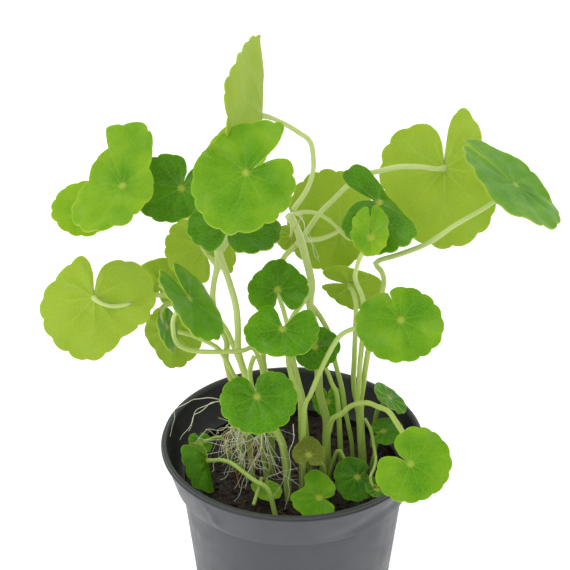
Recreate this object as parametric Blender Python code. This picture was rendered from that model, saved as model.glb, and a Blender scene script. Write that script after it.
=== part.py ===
# Brazilian pennywort in a round nursery pot: round scalloped leaves on long stalks, each leaf one
# piece with its stalk, on a few stems that stand in the soil, with pale roots and the pot.
# All sizes below are millimetres. The origin is the centre of the pot's base, +Z is up, and the
# side that is usually looked at faces -Y.

import math

import bmesh
import bpy
import numpy as np
from mathutils import Matrix, Vector

MM = 0.001

# Pot, from its real size: 9 cm across the rim
RIM_RADIUS = 45.0
POT_HEIGHT = 75.0
BASE_RADIUS = 32.5
BODY_TOP_RADIUS = 38.6
COLLAR_FOOT_RADIUS = 41.1
COLLAR_FOOT_HEIGHT = 60.7
COLLAR_TOP_RADIUS = 44.2
LIP_HEIGHT = 1.9
LIP_WIDTH = 1.4
WALL = 1.2
FLOOR = 1.5
BASE_BEVEL = 1.0
COLLAR_BEVEL = 0.7
LIP_BEVEL = 0.4
POT_SIDES = 32

# Soil, a little under the rim
SOIL_TOP = 58.5
SOIL_EDGE = 1.5
SOIL_LUMP = 0.6
SOIL_RINGS = 4
SOIL_SIDES = 16

# Gap between pieces that touch
GAP = 0.3
# Points of one solid that are closer than this become one
WELD = 0.0002

# Leaves: every blade has this thickness, scallops this deep and a rim that waves this much.
# Depths, waves and the cup are shares of the distance from the hub to the margin.
BLADE_THICKNESS = 0.8
SCALLOP_DEPTH = 0.05
RIM_WAVE = 0.035
RIM_CUP = 0.05
SCALLOPS = 11
SMALL_LEAF = 12.1
SMALL_SCALLOPS = 8
INNER_RING = 0.55
NOTCH = (6, 6)
NOTCH_CLEARANCE = 3
NOTCH_FOOT = 0.12
LOBE_ANGLE = 18
LOBE_POWER = 2.2
RIM_END = 160
LAP_START = 120
FOLD_WIDTH = 5

# Stalks, stems and roots
TUBE_SIDES = 5
TUBE_STEP = 12.0
ROOT_SIDES = 4
ROOT_CROWN = 0.6
ROOT_TIP = 0.35
ROOT_STEP = 9.0
FINE_STEP = 0.5
SPAN_POINTS = 12
FEWEST_POINTS = 4

# The main stems, from their top node down to the soil, and three bare stalks that grow up from the
# soil to one of them. Each has its radius at the top and at the foot, or at the start and the end,
# and the points of its route. onto names the stem that a stalk ends at.
STEMS = (
    dict(name="stem_left", thick=(1, 1.35),
         route=((-24.5, -2, 150), (-22.5, -2, 143), (-20.5, -2, 136), (-18.5, -2, 127), (-18, -2, 118),
                (-18, -2, 110), (-15.5, -3, 100.5), (-10.5, -5, 88), (-4.5, -10, 81.5),
                (-2.5, -13, 73.5), (-1.5, -14.5, 59.5))),
    dict(name="stem_left_pale", thick=(0.9, 1.15),
         route=((-28, 8, 152.5), (-25.5, 8, 145), (-24.5, 8, 138), (-26, 7, 130.5), (-26.5, 6, 124),
                (-26, 5, 120), (-24, 4, 115.5), (-22, 4, 110), (-22.5, 4, 104), (-21.5, 4, 97.5),
                (-19.5, 4, 89), (-17.5, 4, 59.5))),
    dict(name="stem_centre", thick=(1.2, 1.5),
         route=((-1.5, 8, 155), (1.5, 8, 149), (4, 8, 139.5), (6, 8, 130), (5.5, 8, 122.5),
                (7, 8, 114), (8.5, 8, 100.5), (9, 7, 88.5), (11.5, 4, 79), (11.5, 1, 72.5),
                (12, -2, 59.5))),
    dict(name="stem_right", thick=(1.3, 1.5),
         route=((22.5, 4, 85.5), (23, 3, 79.5), (23.5, 1, 72.5), (24.5, -0.5, 59.5))),
    dict(name="stalk_left_inner", thick=(0.75, 0.9), onto="stem_left_pale",
         route=((-9, -6, 59.5), (-10.5, -4.5, 75.5), (-12, -3, 83.5), (-14.5, -1, 93.5), (-16.5, 0, 101),
                (-18.5, 1, 106.5), (-20.5, 2, 112), (-22.5, 3, 116), (-26, 5, 120))),
    dict(name="stalk_centre_inner", thick=(0.75, 0.9), onto="stem_centre",
         route=((5.5, 4, 59.5), (5, 4.5, 70), (4.5, 5, 76), (3, 5, 83), (1.5, 4, 92), (-0.5, 3, 101.5),
                (-2, 2, 110), (-2, 2, 116), (1, 4.5, 121.5), (5.5, 8, 126))),
    dict(name="stalk_right_inner", thick=(0.75, 0.9), onto="stem_centre",
         route=((21, 3, 59.5), (20.5, 4, 68), (19.5, 5, 74), (18, 6, 81.5), (17, 7, 88.5), (15.5, 8, 94.5),
                (14, 9, 100.5), (13, 9, 108), (9.5, 9, 116), (5.5, 8, 122.5))),
)

# The leaves. face is the way the blade's upper side looks and tip is the way from the hub, where
# the stalk joins, to the end opposite the notch. rim gives the distance from hub to margin in nine
# or seventeen evenly spaced directions, from 160 degrees on one side of the tip to 160 on the
# other, and lift how far the margin rises out of the blade's plane there. notch is the half angle
# of the notch on either side, lobe the angle over which the lobes beside it are rounded, lap how
# far they close over it, and fold the angle by which the blade is folded along its middle. route
# leads the stalk from the hub to the stem or soil it grows from, and thick is its radius at both
# ends.
LEAVES = (
    dict(
        name="leaf_top",
        onto="stem_centre",
        face=(-1, 0, 0.05),
        tip=(0, 0.5, 0.9),
        rim=(8, 10, 12, 16, 20, 20, 20.5, 24.5, 25, 24.5, 24, 25.8, 29.6, 29, 29, 28, 26),
        notch=(60, 64),
        fold=48,
        lobe=8,
        thick=(0.7, 0.9),
        route=((-10, 12, 187.2), (-7.5, 12, 186.5), (-3, 12, 184.5), (1.5, 11, 182), (5, 10, 179.5),
               (6, 9, 175), (6, 9, 169.5), (4, 9, 163), (0, 9, 156.5)),
    ),
    dict(
        name="leaf_top_back",
        onto="stem_left",
        face=(-0.35, -0.4, 0.85),
        tip=(0.1, 0.85, 0.55),
        rim=(11, 12, 12, 12, 13, 12, 12, 12, 10),
        thick=(0.7, 0.95),
        route=((-17.5, 18.6, 172.6), (-18, 23, 165), (-19.5, 22, 153.5), (-22, 16, 145), (-24, 9, 143)),
    ),
    dict(
        name="leaf_front_big",
        onto="stem_left",
        face=(0, -0.65, 0.75),
        tip=(-0.8, -0.3, -0.55),
        rim=(13.5, 15.5, 17.5, 20.5, 18, 15.5, 14, 16, 19),
        notch=(4, 5),
        thick=(0.7, 0.95),
        route=((-14, -22, 183), (-14, -12, 174), (-15.5, 0, 162), (-19, 4, 152), (-23, 2, 148.5)),
    ),
    dict(
        name="leaf_left_crumpled",
        onto="stem_left_pale",
        face=(-0.2, -0.5, 0.85),
        tip=(0.3, -0.45, -0.85),
        rim=(21, 22, 12, 9.8, 9.8, 10.2, 11, 12, 15, 17.5, 19.5, 19, 17, 14.3, 12, 13, 15.5),
        notch=(12, 8),
        lift=(2.5, 1, 0, 0, 0, 1, 0, 0, -1),
        lap=(25, 12),
        lobe=6,
        thick=(0.7, 0.95),
        route=((-52, -8, 172.5), (-51.5, -1, 166.5), (-48, 8, 160), (-43.5, 13, 155.5), (-38, 16, 153.5),
               (-32.5, 15, 152), (-29, 11, 151), (-28, 8.5, 148)),
    ),
    dict(
        name="leaf_left_behind",
        onto="stem_left_pale",
        face=(0.1, -0.5, 0.85),
        tip=(-0.95, -0.15, -0.3),
        rim=(8, 8, 9, 11, 12.5, 12, 11, 10, 9),
        thick=(0.7, 0.95),
        route=((-64, 4, 158.6), (-61.5, 10, 154.5), (-58, 13, 154.5), (-52, 15, 154), (-46.5, 17.5, 152),
               (-40.5, 19, 150.5), (-34, 18, 149), (-29, 12, 148.5), (-27.5, 8.5, 145.5)),
    ),
    dict(
        name="leaf_left_dark",
        onto="stem_left_pale",
        face=(0.1, -0.8, 0.6),
        tip=(-0.35, -0.45, -0.8),
        rim=(9.3, 10, 10, 9.3, 12, 14.7, 14.5, 13.2, 10),
        notch=(1, 1),
        lift=(-1.5, 0, 0, 0, 0, 0, 0, 0, 0.6),
        thick=(0.7, 0.95),
        route=((-35, 2, 167), (-35, 8, 160), (-32.5, 10, 154.5), (-28.5, 9.5, 151)),
    ),
    dict(
        name="leaf_under_front",
        onto="stem_left",
        face=(0, -0.4, 0.9),
        tip=(0.1, 0.5, 0.85),
        rim=(12, 13, 12, 10, 7, 10, 16, 16, 11),
        notch=(4, 4),
        thick=(0.7, 0.95),
        route=((-20, -11, 160.5), (-20.5, -6, 153.5), (-22.5, -3.5, 148.5)),
    ),
    dict(
        name="leaf_back_pale",
        onto="stem_left_pale",
        face=(0.1, 1, -0.2),
        tip=(-0.4, 0.45, 0.8),
        rim=(13, 11, 11, 12, 12.5, 13, 13.5, 14, 12),
        thick=(0.7, 0.95),
        route=((-30, 22, 136), (-28.5, 20, 134.5), (-26.5, 13, 136), (-25, 8, 137)),
    ),
    dict(
        name="leaf_back_grey",
        onto="stem_left_pale",
        face=(-0.35, 0.95, 0.1),
        tip=(0, 0.5, 0.9),
        rim=(9, 10, 11, 11, 11, 11, 11, 10, 9),
        thick=(0.7, 0.95),
        route=((-45.5, 28, 118.5), (-41.5, 24, 118.5), (-34, 18, 119), (-29.5, 12, 120.5),
               (-26.5, 7, 122.5)),
    ),
    dict(
        name="leaf_left_large",
        onto="stem_left_pale",
        face=(0, 0.9, -0.4),
        tip=(-0.05, -0.5, -0.9),
        rim=(14, 13.5, 17.5, 19.5, 20.5, 16, 19.5, 19, 12.5),
        notch=(2, 4),
        thick=(0.7, 0.95),
        route=((-63.5, -6, 132.5), (-61.5, -8, 132), (-58, -8, 130.5), (-53.5, -7, 130.5),
               (-49, -5, 131), (-45.5, -2, 131), (-41, 4, 127.5), (-34.5, 8, 122.5), (-29, 9, 118.5),
               (-25, 7, 115)),
    ),
    dict(
        name="leaf_left_blade",
        face=(0.75, -0.1, 0.65),
        tip=(0.5, -0.4, -0.75),
        rim=(13, 13, 13, 14, 15.5, 15, 14, 13.5, 13),
        thick=(0.7, 0.95),
        route=((-32, -20, 140), (-35, -14, 134), (-38, -10, 127.5), (-38.5, -8, 121.5),
               (-38, -6, 116.5), (-36, -5, 113.5), (-31.5, -5, 112), (-23.5, -7, 113),
               (-16.5, -8, 114), (-13, -6, 114), (-11, -4, 108), (-10, -3, 102.5), (-8.5, -1, 90.5),
               (-7.5, 0, 59.5)),
    ),
    dict(
        name="leaf_left_lime",
        face=(0, 0.95, -0.3),
        tip=(0, -0.5, -0.9),
        rim=(9, 9.5, 9.5, 9.5, 13.5, 12, 10.5, 9.5, 9),
        thick=(0.7, 0.95),
        route=((-41, 15, 108), (-38, 8, 111.5), (-33.5, 6, 111.5), (-30.5, 5, 110.5),
               (-27.5, 4, 109.5), (-24.5, 1, 109), (-22, 0, 105), (-19.5, 0, 99), (-17, 0, 94.5),
               (-14, 0, 59.5)),
    ),
    dict(
        name="leaf_left_hanging",
        onto="leaf_left_large",
        face=(0.95, -0.15, 0.35),
        tip=(0.1, -0.5, -0.85),
        rim=(7, 8, 8, 9, 9, 8, 8, 8, 7),
        thick=(0.7, 0.95),
        route=((-41.5, 0, 118.5), (-42.5, -2, 121), (-43, -2, 125), (-41, 2, 125.5), (-35.5, 8, 122.5)),
    ),
    dict(
        name="leaf_centre_high",
        face=(0, -0.85, 0.55),
        tip=(0, 0.5, 0.9),
        rim=(8, 9.5, 9.5, 8.5, 10, 9, 10, 9, 8),
        notch=(6, 24),
        thick=(0.7, 0.95),
        route=((-5, -10, 137.5), (-4.5, -5, 132), (-3, -4, 126), (-1.5, -3, 118), (-0.5, -3, 110.5),
               (2, -3, 98), (3.5, -3, 90), (6, -1, 59.5)),
    ),
    dict(
        name="leaf_centre_low",
        face=(0, -0.65, 0.75),
        tip=(0, -0.5, -0.9),
        rim=(11, 11, 11.5, 10.5, 9, 10.5, 12.2, 10, 9),
        notch=(40, 14),
        thick=(0.7, 0.95),
        route=((-3.5, -24, 131.5), (-3, -18, 124.5), (-2, -13, 116.5), (-1.5, -10, 109.5),
               (0, -9, 102.5), (2, -8, 97), (2.5, -8, 91), (3, -7, 59.5)),
    ),
    dict(
        name="leaf_centre_dark",
        face=(0, -0.7, 0.75),
        tip=(0.3, -0.45, -0.85),
        rim=(7, 7.5, 8.5, 8, 8, 8, 7.5, 7, 7),
        thick=(0.7, 0.95),
        route=((7, -4, 113), (8, 1, 106.5), (11, 2, 101), (13, 2, 95), (15, 1, 89), (17, 0, 59.5)),
    ),
    dict(
        name="leaf_back_lime",
        onto="stem_centre",
        face=(0.35, 0.85, -0.35),
        tip=(-1, 0.1, 0.15),
        rim=(12, 15, 20, 21.5, 19.5, 18, 15, 12, 10),
        thick=(0.7, 0.95),
        route=((15.5, 22, 142.5), (14, 18, 143.5), (9.5, 14, 143.5), (5, 11, 144.5), (2.5, 10, 145)),
    ),
    dict(
        name="leaf_back_small",
        onto="stem_centre",
        face=(0.2, 0.9, -0.35),
        tip=(0, -0.5, -0.9),
        rim=(4, 5, 5.5, 5.5, 5.5, 5.5, 5.5, 5, 4),
        thick=(0.5, 0.6),
        route=((-0.5, 20, 141.5), (-0.5, 15, 145.5), (-0.5, 11, 150), (-1, 10, 153)),
    ),
    dict(
        name="leaf_right_large",
        face=(0.3, 0.85, -0.45),
        tip=(0, -0.5, -0.9),
        rim=(15.5, 21, 22.3, 24, 26.3, 23.3, 15, 15, 20.5),
        notch=(3, 3),
        thick=(0.85, 1),
        route=((49, 22, 165), (46.5, 19, 166), (41, 16, 168), (34, 14, 169), (27.5, 13, 168),
               (22, 13, 166.5), (17, 14, 162), (13, 15, 157), (8.5, 16, 151.5), (4.5, 17, 144.5),
               (0.5, 16, 139.5), (-3, 14, 136.5), (-6, 12, 130.5), (-8.5, 10, 122.5), (-9.5, 9, 111.5),
               (-10, 9, 100), (-8, 8, 86.5), (-7, 7.5, 59.5)),
    ),
    dict(
        name="leaf_right_dark",
        onto="stem_centre",
        face=(-0.35, -0.65, 0.7),
        tip=(0.9, -0.2, -0.35),
        rim=(16.5, 15, 8, 4.6, 4, 3.9, 4, 5, 8, 16.5, 17.7, 17.7, 16.5, 15, 14.3, 11, 7.5),
        lift=(0, -2, -9, -8, -6, 0, 0, 1, 1),
        notch=(6, 6),
        thick=(0.6, 0.7),
        route=((26.5, -2, 164), (26, 4, 158), (23, 5, 152), (19.5, 5, 148), (17, 6, 148),
               (13, 6, 152.5), (8.5, 6, 156), (4.5, 6, 157), (0.5, 6, 156.5)),
    ),
    dict(
        name="leaf_right_small",
        onto="stem_right",
        face=(0, -0.75, 0.65),
        tip=(0, -0.5, -0.9),
        rim=(9.5, 8.2, 6.2, 5.6, 4.9, 5.4, 5, 6, 5.8, 6.2, 5.2, 5.9, 5.6, 6.4, 6.4, 8.2, 9.3),
        notch=(1, 1),
        lobe=4,
        thick=(0.7, 0.9),
        route=((23, -20, 161), (22.5, -18, 157), (20.5, -17, 153.5), (19.5, -12, 146.5),
               (19.5, -7, 139.5), (22, -5, 132), (23, -3, 122.5), (22.5, -1, 112), (22, -1, 102),
               (22, -1, 94.5), (21.5, 0, 89)),
    ),
    dict(
        name="leaf_right_far",
        onto="stem_right",
        face=(0.53, -0.12, 0.84),
        tip=(0.8, -0.3, -0.55),
        rim=(20.5, 17, 16.3, 16.3, 17.3, 20.4, 20.4, 20.6, 20.5),
        notch=(2, 2),
        lobe=3,
        thick=(0.75, 1),
        route=((68.5, 0, 169.2), (66.8, 3, 165), (64.5, 3, 163.5), (59.5, 2, 160), (51, 0, 155.5),
               (42.5, -1, 149.5), (33.5, -2, 146), (27.5, -2, 144), (26, -2, 142.5), (28, -2, 140),
               (29, -2, 136.5), (28.5, -3, 133), (27, -4, 125), (25, -2, 112.5), (24, 1, 100),
               (23.5, 3, 91.5), (23, 4, 86)),
    ),
    dict(
        name="leaf_right_under",
        onto="stem_right",
        face=(0.2, 0.9, 0.4),
        tip=(1, 0, 0),
        rim=(10.5, 11.5, 13, 12.5, 11.5, 10, 8, 9, 10.5),
        thick=(0.8, 0.9),
        route=((19, 12, 127.5), (19.5, 7, 128), (20.5, 4, 125), (20.5, 3, 119), (20.5, 3, 112),
               (20.5, 4, 103), (20.5, 6, 95), (21, 7, 88.5), (22, 6, 85)),
    ),
    dict(
        name="leaf_right_round",
        face=(-0.1, -0.8, 0.55),
        tip=(0.42, -0.45, -0.82),
        rim=(10.3, 11, 12.5, 13.8, 13.2, 13.4, 14, 14.2, 11),
        notch=(1.5, 1.5),
        lobe=4,
        lap=(2.5, 2.5),
        lift=(0.7, 0, 0, 0, 0, 0, 0, 0, -0.4),
        thick=(0.7, 0.95),
        route=((33, -22, 133.5), (30.5, -17, 129.5), (26, -15, 127.5), (21, -15, 127),
               (17, -15, 125.5), (14.5, -15, 123.5), (12, -15, 119), (9.5, -15, 113),
               (7.5, -15, 107.5), (5.5, -15, 101.5), (3.5, -15, 94), (3.5, -13.5, 59.5)),
    ),
    dict(
        name="leaf_low_front",
        onto="leaf_left_blade",
        face=(0, -0.65, 0.75),
        tip=(0.2, -0.45, -0.85),
        rim=(7.7, 11, 12.8, 12.7, 12.4, 12.4, 12.2, 11, 8),
        notch=(6, 8),
        thick=(0.7, 0.8),
        route=((-11.5, -26, 108), (-12.5, -20, 106), (-13.5, -17, 107), (-14, -14, 109.5),
               (-13.5, -11, 111), (-12.5, -9.5, 113)),
    ),
    dict(
        name="leaf_low_right",
        face=(0, -0.85, 0.55),
        tip=(0.85, -0.25, -0.45),
        rim=(8.4, 11.5, 12.6, 13.1, 12.4, 12.1, 12.5, 12.2, 9.5),
        notch=(6, 6),
        thick=(0.8, 1),
        route=((36.5, -38, 91), (37, -32, 91), (35.5, -28, 94), (33, -24, 96.5), (30.5, -20, 98.5),
               (27.5, -16, 97.5), (24, -12, 96.5), (19.5, -9, 93.5), (16, -7, 88.5), (12.5, -6, 84),
               (9.5, -4.5, 59.5)),
    ),
    dict(
        name="leaf_pot_right_back",
        face=(0.65, 0, 0.75),
        tip=(0.7, -0.35, -0.6),
        rim=(7, 7, 7, 7.3, 7.6, 7.3, 7, 7, 7),
        notch=(0, 0),
        lobe=3,
        thick=(0.7, 0.95),
        route=((33.8, 16, 80.2), (32, 16.5, 77.3), (29.8, 17.2, 73), (28.5, 17, 59.5)),
    ),
    dict(
        name="leaf_pot_right_mid",
        face=(-0.2, -0.15, 0.95),
        tip=(0.95, 0.15, 0.3),
        rim=(4.3, 5.4, 6.3, 7, 7, 7, 7, 6, 4.5),
        thick=(0.6, 0.7),
        route=((31.5, 8, 71.5), (30, 7, 69.5), (29, 5, 67.5), (27, 2, 59.5)),
    ),
    dict(
        name="leaf_pot_left",
        face=(0.97, -0.1, 0.2),
        tip=(0, -0.5, -0.9),
        rim=(7, 11.5, 9.5, 10.5, 11, 10.5, 9.5, 11.5, 7),
        notch=(40, 40),
        fold=-150,
        thick=(0.7, 0.9),
        route=((-29, -8, 70.5), (-27, -10, 72), (-23.5, -14, 75), (-20, -18, 76.5), (-16, -21, 75),
               (-12, -24, 73.5), (-8, -26, 71.5), (-5, -29, 59.5)),
    ),
    dict(
        name="leaf_pot_front",
        face=(0, -0.35, 0.95),
        tip=(-1, 0.05, 0.1),
        rim=(5, 7, 7.5, 8, 8.5, 8.7, 8.8, 9.3, 9.3, 7.2, 6.6, 10.2, 11.2, 9.6, 8.2, 6.8, 5),
        notch=(10, 8),
        thick=(0.7, 0.8),
        route=((8.5, -26, 68.5), (8, -22, 68), (7.5, -17, 67), (5.5, -14, 59.5)),
    ),
    dict(
        name="leaf_pot_front_dark",
        face=(0, -0.5, 0.85),
        tip=(-0.9, -0.2, -0.4),
        rim=(6, 7.5, 8.5, 9, 8, 8, 8, 6.5, 5.5),
        thick=(0.6, 0.7),
        route=((21.5, -14, 68), (20, -9, 68), (17.5, -8, 71), (15, -7, 74), (12, -5, 59.5)),
    ),
    dict(
        name="leaf_pot_front_low",
        onto="stem_right",
        face=(0.2, -0.2, 0.95),
        tip=(0, -0.5, -0.9),
        rim=(3, 4, 4, 4, 4.5, 4, 4, 4, 3),
        thick=(0.5, 0.6),
        route=((27.5, -22, 69), (25.5, -20, 72), (27, -14, 71.5), (28, -8, 71), (27.5, -3, 73),
               (26.5, 0, 77.5), (24.5, 1, 81.5)),
    ),
    dict(
        name="leaf_old_brown",
        face=(0.1, -0.5, 0.85),
        tip=(0.15, 0.5, 0.85),
        rim=(3.5, 5, 5.5, 5.5, 6.5, 5.5, 5.5, 5, 3.5),
        thick=(0.5, 0.6),
        route=((5, -21.5, 82.4), (6, -19.5, 80), (8.5, -17, 76.5), (10.5, -14.5, 72), (10.5, -13.5, 59.5)),
    ),
    dict(
        name="leaf_behind_stems",
        face=(0, -0.85, 0.55),
        tip=(0, -0.5, -0.9),
        rim=(6, 6, 6, 6, 5.7, 5.5, 5.5, 5.5, 5.5),
        thick=(0.5, 0.6),
        route=((12.5, 22, 74.5), (13.5, 24, 70.5), (14.5, 27, 59.5)),
    ),
    dict(
        name="leaf_pot_small_left",
        face=(0.35, -0.35, 0.85),
        tip=(0, -0.5, -0.9),
        rim=(4, 4.5, 4.5, 4.5, 4.5, 4.5, 4.5, 4.5, 4),
        thick=(0.5, 0.6),
        route=((-32, 4, 69.5), (-29.5, 5, 70), (-24.5, 6, 70), (-21.5, 9, 59.5)),
    ),
    dict(
        name="leaf_pot_soil_leaf",
        face=(0.1, -0.05, 1),
        tip=(0, -0.5, -0.9),
        rim=(4, 4.5, 5.5, 7, 6.5, 5, 4.5, 5, 4),
        thick=(0.5, 0.6),
        route=((-9.5, -12, 62.5), (-9, -10, 62.5), (-9, -9, 59.5)),
    ),
)

# A stalk that lost its leaf and lies over the soil
BROKEN_STALK = dict(
    name="broken_stalk",
    thick=(0.7, 0.6),
    route=((-10.5, -18, 70.5), (-11.5, -24, 70), (-13, -29, 68)),
)

# The roots, each clump as the strands that spread from one crown
ROOTS = dict(
    roots_left=(
        ((-23, 0, 89.5), (-28, -2, 92), (-31, -3, 91.5), (-36.5, -4, 91), (-39.5, -4, 88.5),
         (-40.5, -4, 84), (-41, -4, 78.5)),
        ((-23, 0, 89.5), (-28, -4, 91), (-32.5, -6, 88.5), (-35, -7, 83.5), (-37.5, -8, 78.5)),
        ((-23, 0, 89.5), (-27, -2, 90), (-31, -4, 89), (-33, -6, 86.5), (-35, -8, 83)),
    ),
    roots_front=(
        ((-10.5, -7, 84), (-18.5, -4, 83), (-24, -6, 82), (-27.5, -7, 83), (-30, -7, 81.5),
         (-33, -8, 77.5)),
        ((-10.5, -7, 84), (-17, -8, 81), (-21.5, -9, 79.5), (-26.5, -10, 80.5), (-31.5, -10, 80.5)),
        ((-10.5, -7, 84), (-12.5, -9, 81), (-18, -11, 79.5), (-24, -12, 77.5), (-28.5, -13, 76)),
        ((-10.5, -7, 84), (-20.5, -6, 83.5), (-19, -10, 78.5), (-17, -14, 71), (-15.5, -18, 65.5)),
        ((-10.5, -7, 84), (-7.5, -13.5, 76.3), (-3.5, -16.6, 72.4), (1.5, -18.6, 68.9)),
        ((-10.5, -7, 84), (-10.5, -12, 79.5), (-13, -15, 76), (-15.5, -19, 71.5), (-20, -24, 66)),
        ((-10.5, -7, 84), (-17.5, -8, 85), (-24, -5, 78), (-26, -3, 68)),
    ),
    roots_hanging=(
        ((0, -14, 89.5), (-0.5, -18, 80), (-1.5, -22, 73), (-2.5, -27, 65)),
    ),
    roots_centre=(
        ((-0.5, 4, 158), (2, 3, 156.5), (4, 3, 152.5), (5.5, 3, 148), (8, 3, 140.5)),
        ((-0.5, 4, 158), (1.5, 3, 154), (3.5, 3, 148.5), (4.5, 3, 142.5)),
    ),
)


def clear_scene():
    for item in list(bpy.data.objects):
        bpy.data.objects.remove(item, do_unlink=True)


def material(name, colour, roughness, metallic=0.0):
    made = bpy.data.materials.new(name)
    made.use_nodes = True
    shader = made.node_tree.nodes["Principled BSDF"]
    shader.inputs["Base Color"].default_value = (*colour, 1.0)
    shader.inputs["Roughness"].default_value = roughness
    shader.inputs["Metallic"].default_value = metallic
    made.diffuse_color = (*colour, 1.0)
    return made


def add_object(name, points, faces, surface, smooth=True):
    """Makes an object from points in millimetres, with its faces turned outwards."""
    mesh = bpy.data.meshes.new(name)
    mesh.from_pydata([tuple(float(c) for c in p) for p in points], [], faces)
    solid = bmesh.new()
    solid.from_mesh(mesh)
    bmesh.ops.recalc_face_normals(solid, faces=solid.faces)
    bmesh.ops.triangulate(solid, faces=[f for f in solid.faces if len(f.verts) > 4])
    solid.to_mesh(mesh)
    solid.free()
    if smooth:
        mesh.shade_smooth()
        mesh.set_sharp_from_angle(angle=math.radians(40))
    mesh.materials.append(surface)
    made = bpy.data.objects.new(name, mesh)
    bpy.context.scene.collection.objects.link(made)
    return made


def fuse(base, others):
    """Joins others to base as one solid and removes them."""
    for other in others:
        union = base.modifiers.new("Union", "BOOLEAN")
        union.operation = "UNION"
        union.solver = "EXACT"
        union.object = other
        bpy.context.view_layer.update()
        graph = bpy.context.evaluated_depsgraph_get()
        joined = bpy.data.meshes.new_from_object(base.evaluated_get(graph))
        base.modifiers.clear()
        base.data = joined
        bpy.data.objects.remove(other, do_unlink=True)
    tidy = bmesh.new()
    tidy.from_mesh(base.data)
    bmesh.ops.remove_doubles(tidy, verts=tidy.verts, dist=WELD)
    bmesh.ops.dissolve_degenerate(tidy, edges=tidy.edges, dist=WELD)
    tidy.to_mesh(base.data)
    tidy.free()
    return base


def smooth_route(points, step):
    """Points about one step apart on a smooth curve through the given ones."""
    given = np.array(points, float)
    ends = np.vstack([2 * given[0] - given[1], given, 2 * given[-1] - given[-2]])
    fine = []
    for i in range(len(given) - 1):
        a, b, c, d = ends[i:i + 4]
        for t in np.linspace(0, 1, SPAN_POINTS, endpoint=False):
            fine.append(0.5 * (2 * b + (c - a) * t + (2 * a - 5 * b + 4 * c - d) * t ** 2
                               + (3 * b - a - 3 * c + d) * t ** 3))
    fine.append(given[-1])
    fine = np.array(fine)
    along = np.concatenate([[0], np.cumsum(np.linalg.norm(np.diff(fine, axis=0), axis=1))])
    count = max(2, int(round(along[-1] / step)) + 1)
    places = np.linspace(0, along[-1], count)
    return np.stack([np.interp(places, along, fine[:, k]) for k in range(3)], axis=1)


def tube_rings(points, radii, sides):
    """Rings of points round a route, turned as little as possible from one to the next."""
    tangents = np.gradient(points, axis=0)
    tangents /= np.linalg.norm(tangents, axis=1)[:, None]
    side = np.cross(tangents[0], (0.3, 0.9, 0.1))
    rings = []
    for point, tangent, radius in zip(points, tangents, radii):
        side = side - tangent * np.dot(side, tangent)
        side /= np.linalg.norm(side)
        other = np.cross(tangent, side)
        angles = np.arange(sides) * 2 * math.pi / sides
        rings.append([point + radius * (math.cos(a) * side + math.sin(a) * other) for a in angles])
    return np.array(rings)


def tube(name, rings, surface):
    """A closed tube through rings of points."""
    count, sides = rings.shape[:2]
    faces = [tuple(range(sides)), tuple(range((count - 1) * sides, count * sides))]
    for i in range(count - 1):
        for k in range(sides):
            a = i * sides + k
            b = i * sides + (k + 1) % sides
            faces.append((a, b, b + sides, a + sides))
    return add_object(name, rings.reshape(-1, 3), faces, surface)


def route_of(piece):
    """The whole route of a stem or stalk as fine points with the radius at each."""
    points = smooth_route(piece["route"], FINE_STEP)
    radii = np.linspace(piece["thick"][0], piece["thick"][1], len(points))
    return points, radii


def clear_length(piece, parent):
    """How many fine points of a stalk stay clear of the stem that it grows from."""
    points, radii = route_of(piece)
    stem, stem_radii = route_of(parent)
    for i in range(len(points)):
        reach = np.linalg.norm(stem - points[i], axis=1) - stem_radii
        if reach.min() < radii[i] + GAP:
            return max(i, FEWEST_POINTS)
    return len(points)


def stalk_rings(piece, parent):
    points, radii = route_of(piece)
    last = clear_length(piece, parent) if parent else len(points)
    count = max(FEWEST_POINTS - 1, int(round(last * FINE_STEP / TUBE_STEP)) + 1)
    picked = np.unique(np.linspace(0, last - 1, count).round().astype(int))
    return tube_rings(points[picked], radii[picked], TUBE_SIDES)


def key_value(values, angle):
    """A smooth curve through values evenly spaced from -RIM_END to RIM_END degrees."""
    row = np.array(values, float)
    row = np.concatenate([[2 * row[0] - row[1]], row, [2 * row[-1] - row[-2]]])
    last = len(values) - 1
    place = (math.degrees(angle) + RIM_END) / (2 * RIM_END) * last
    place = min(max(place, -0.5), last + 0.5)
    i = min(max(int(math.floor(place)), 0), last - 1)
    t = place - i
    a, b, c, d = row[i:i + 4]
    return 0.5 * (2 * b + (c - a) * t + (2 * a - 5 * b + 4 * c - d) * t * t
                  + (3 * b - a - 3 * c + d) * t ** 3)


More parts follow.
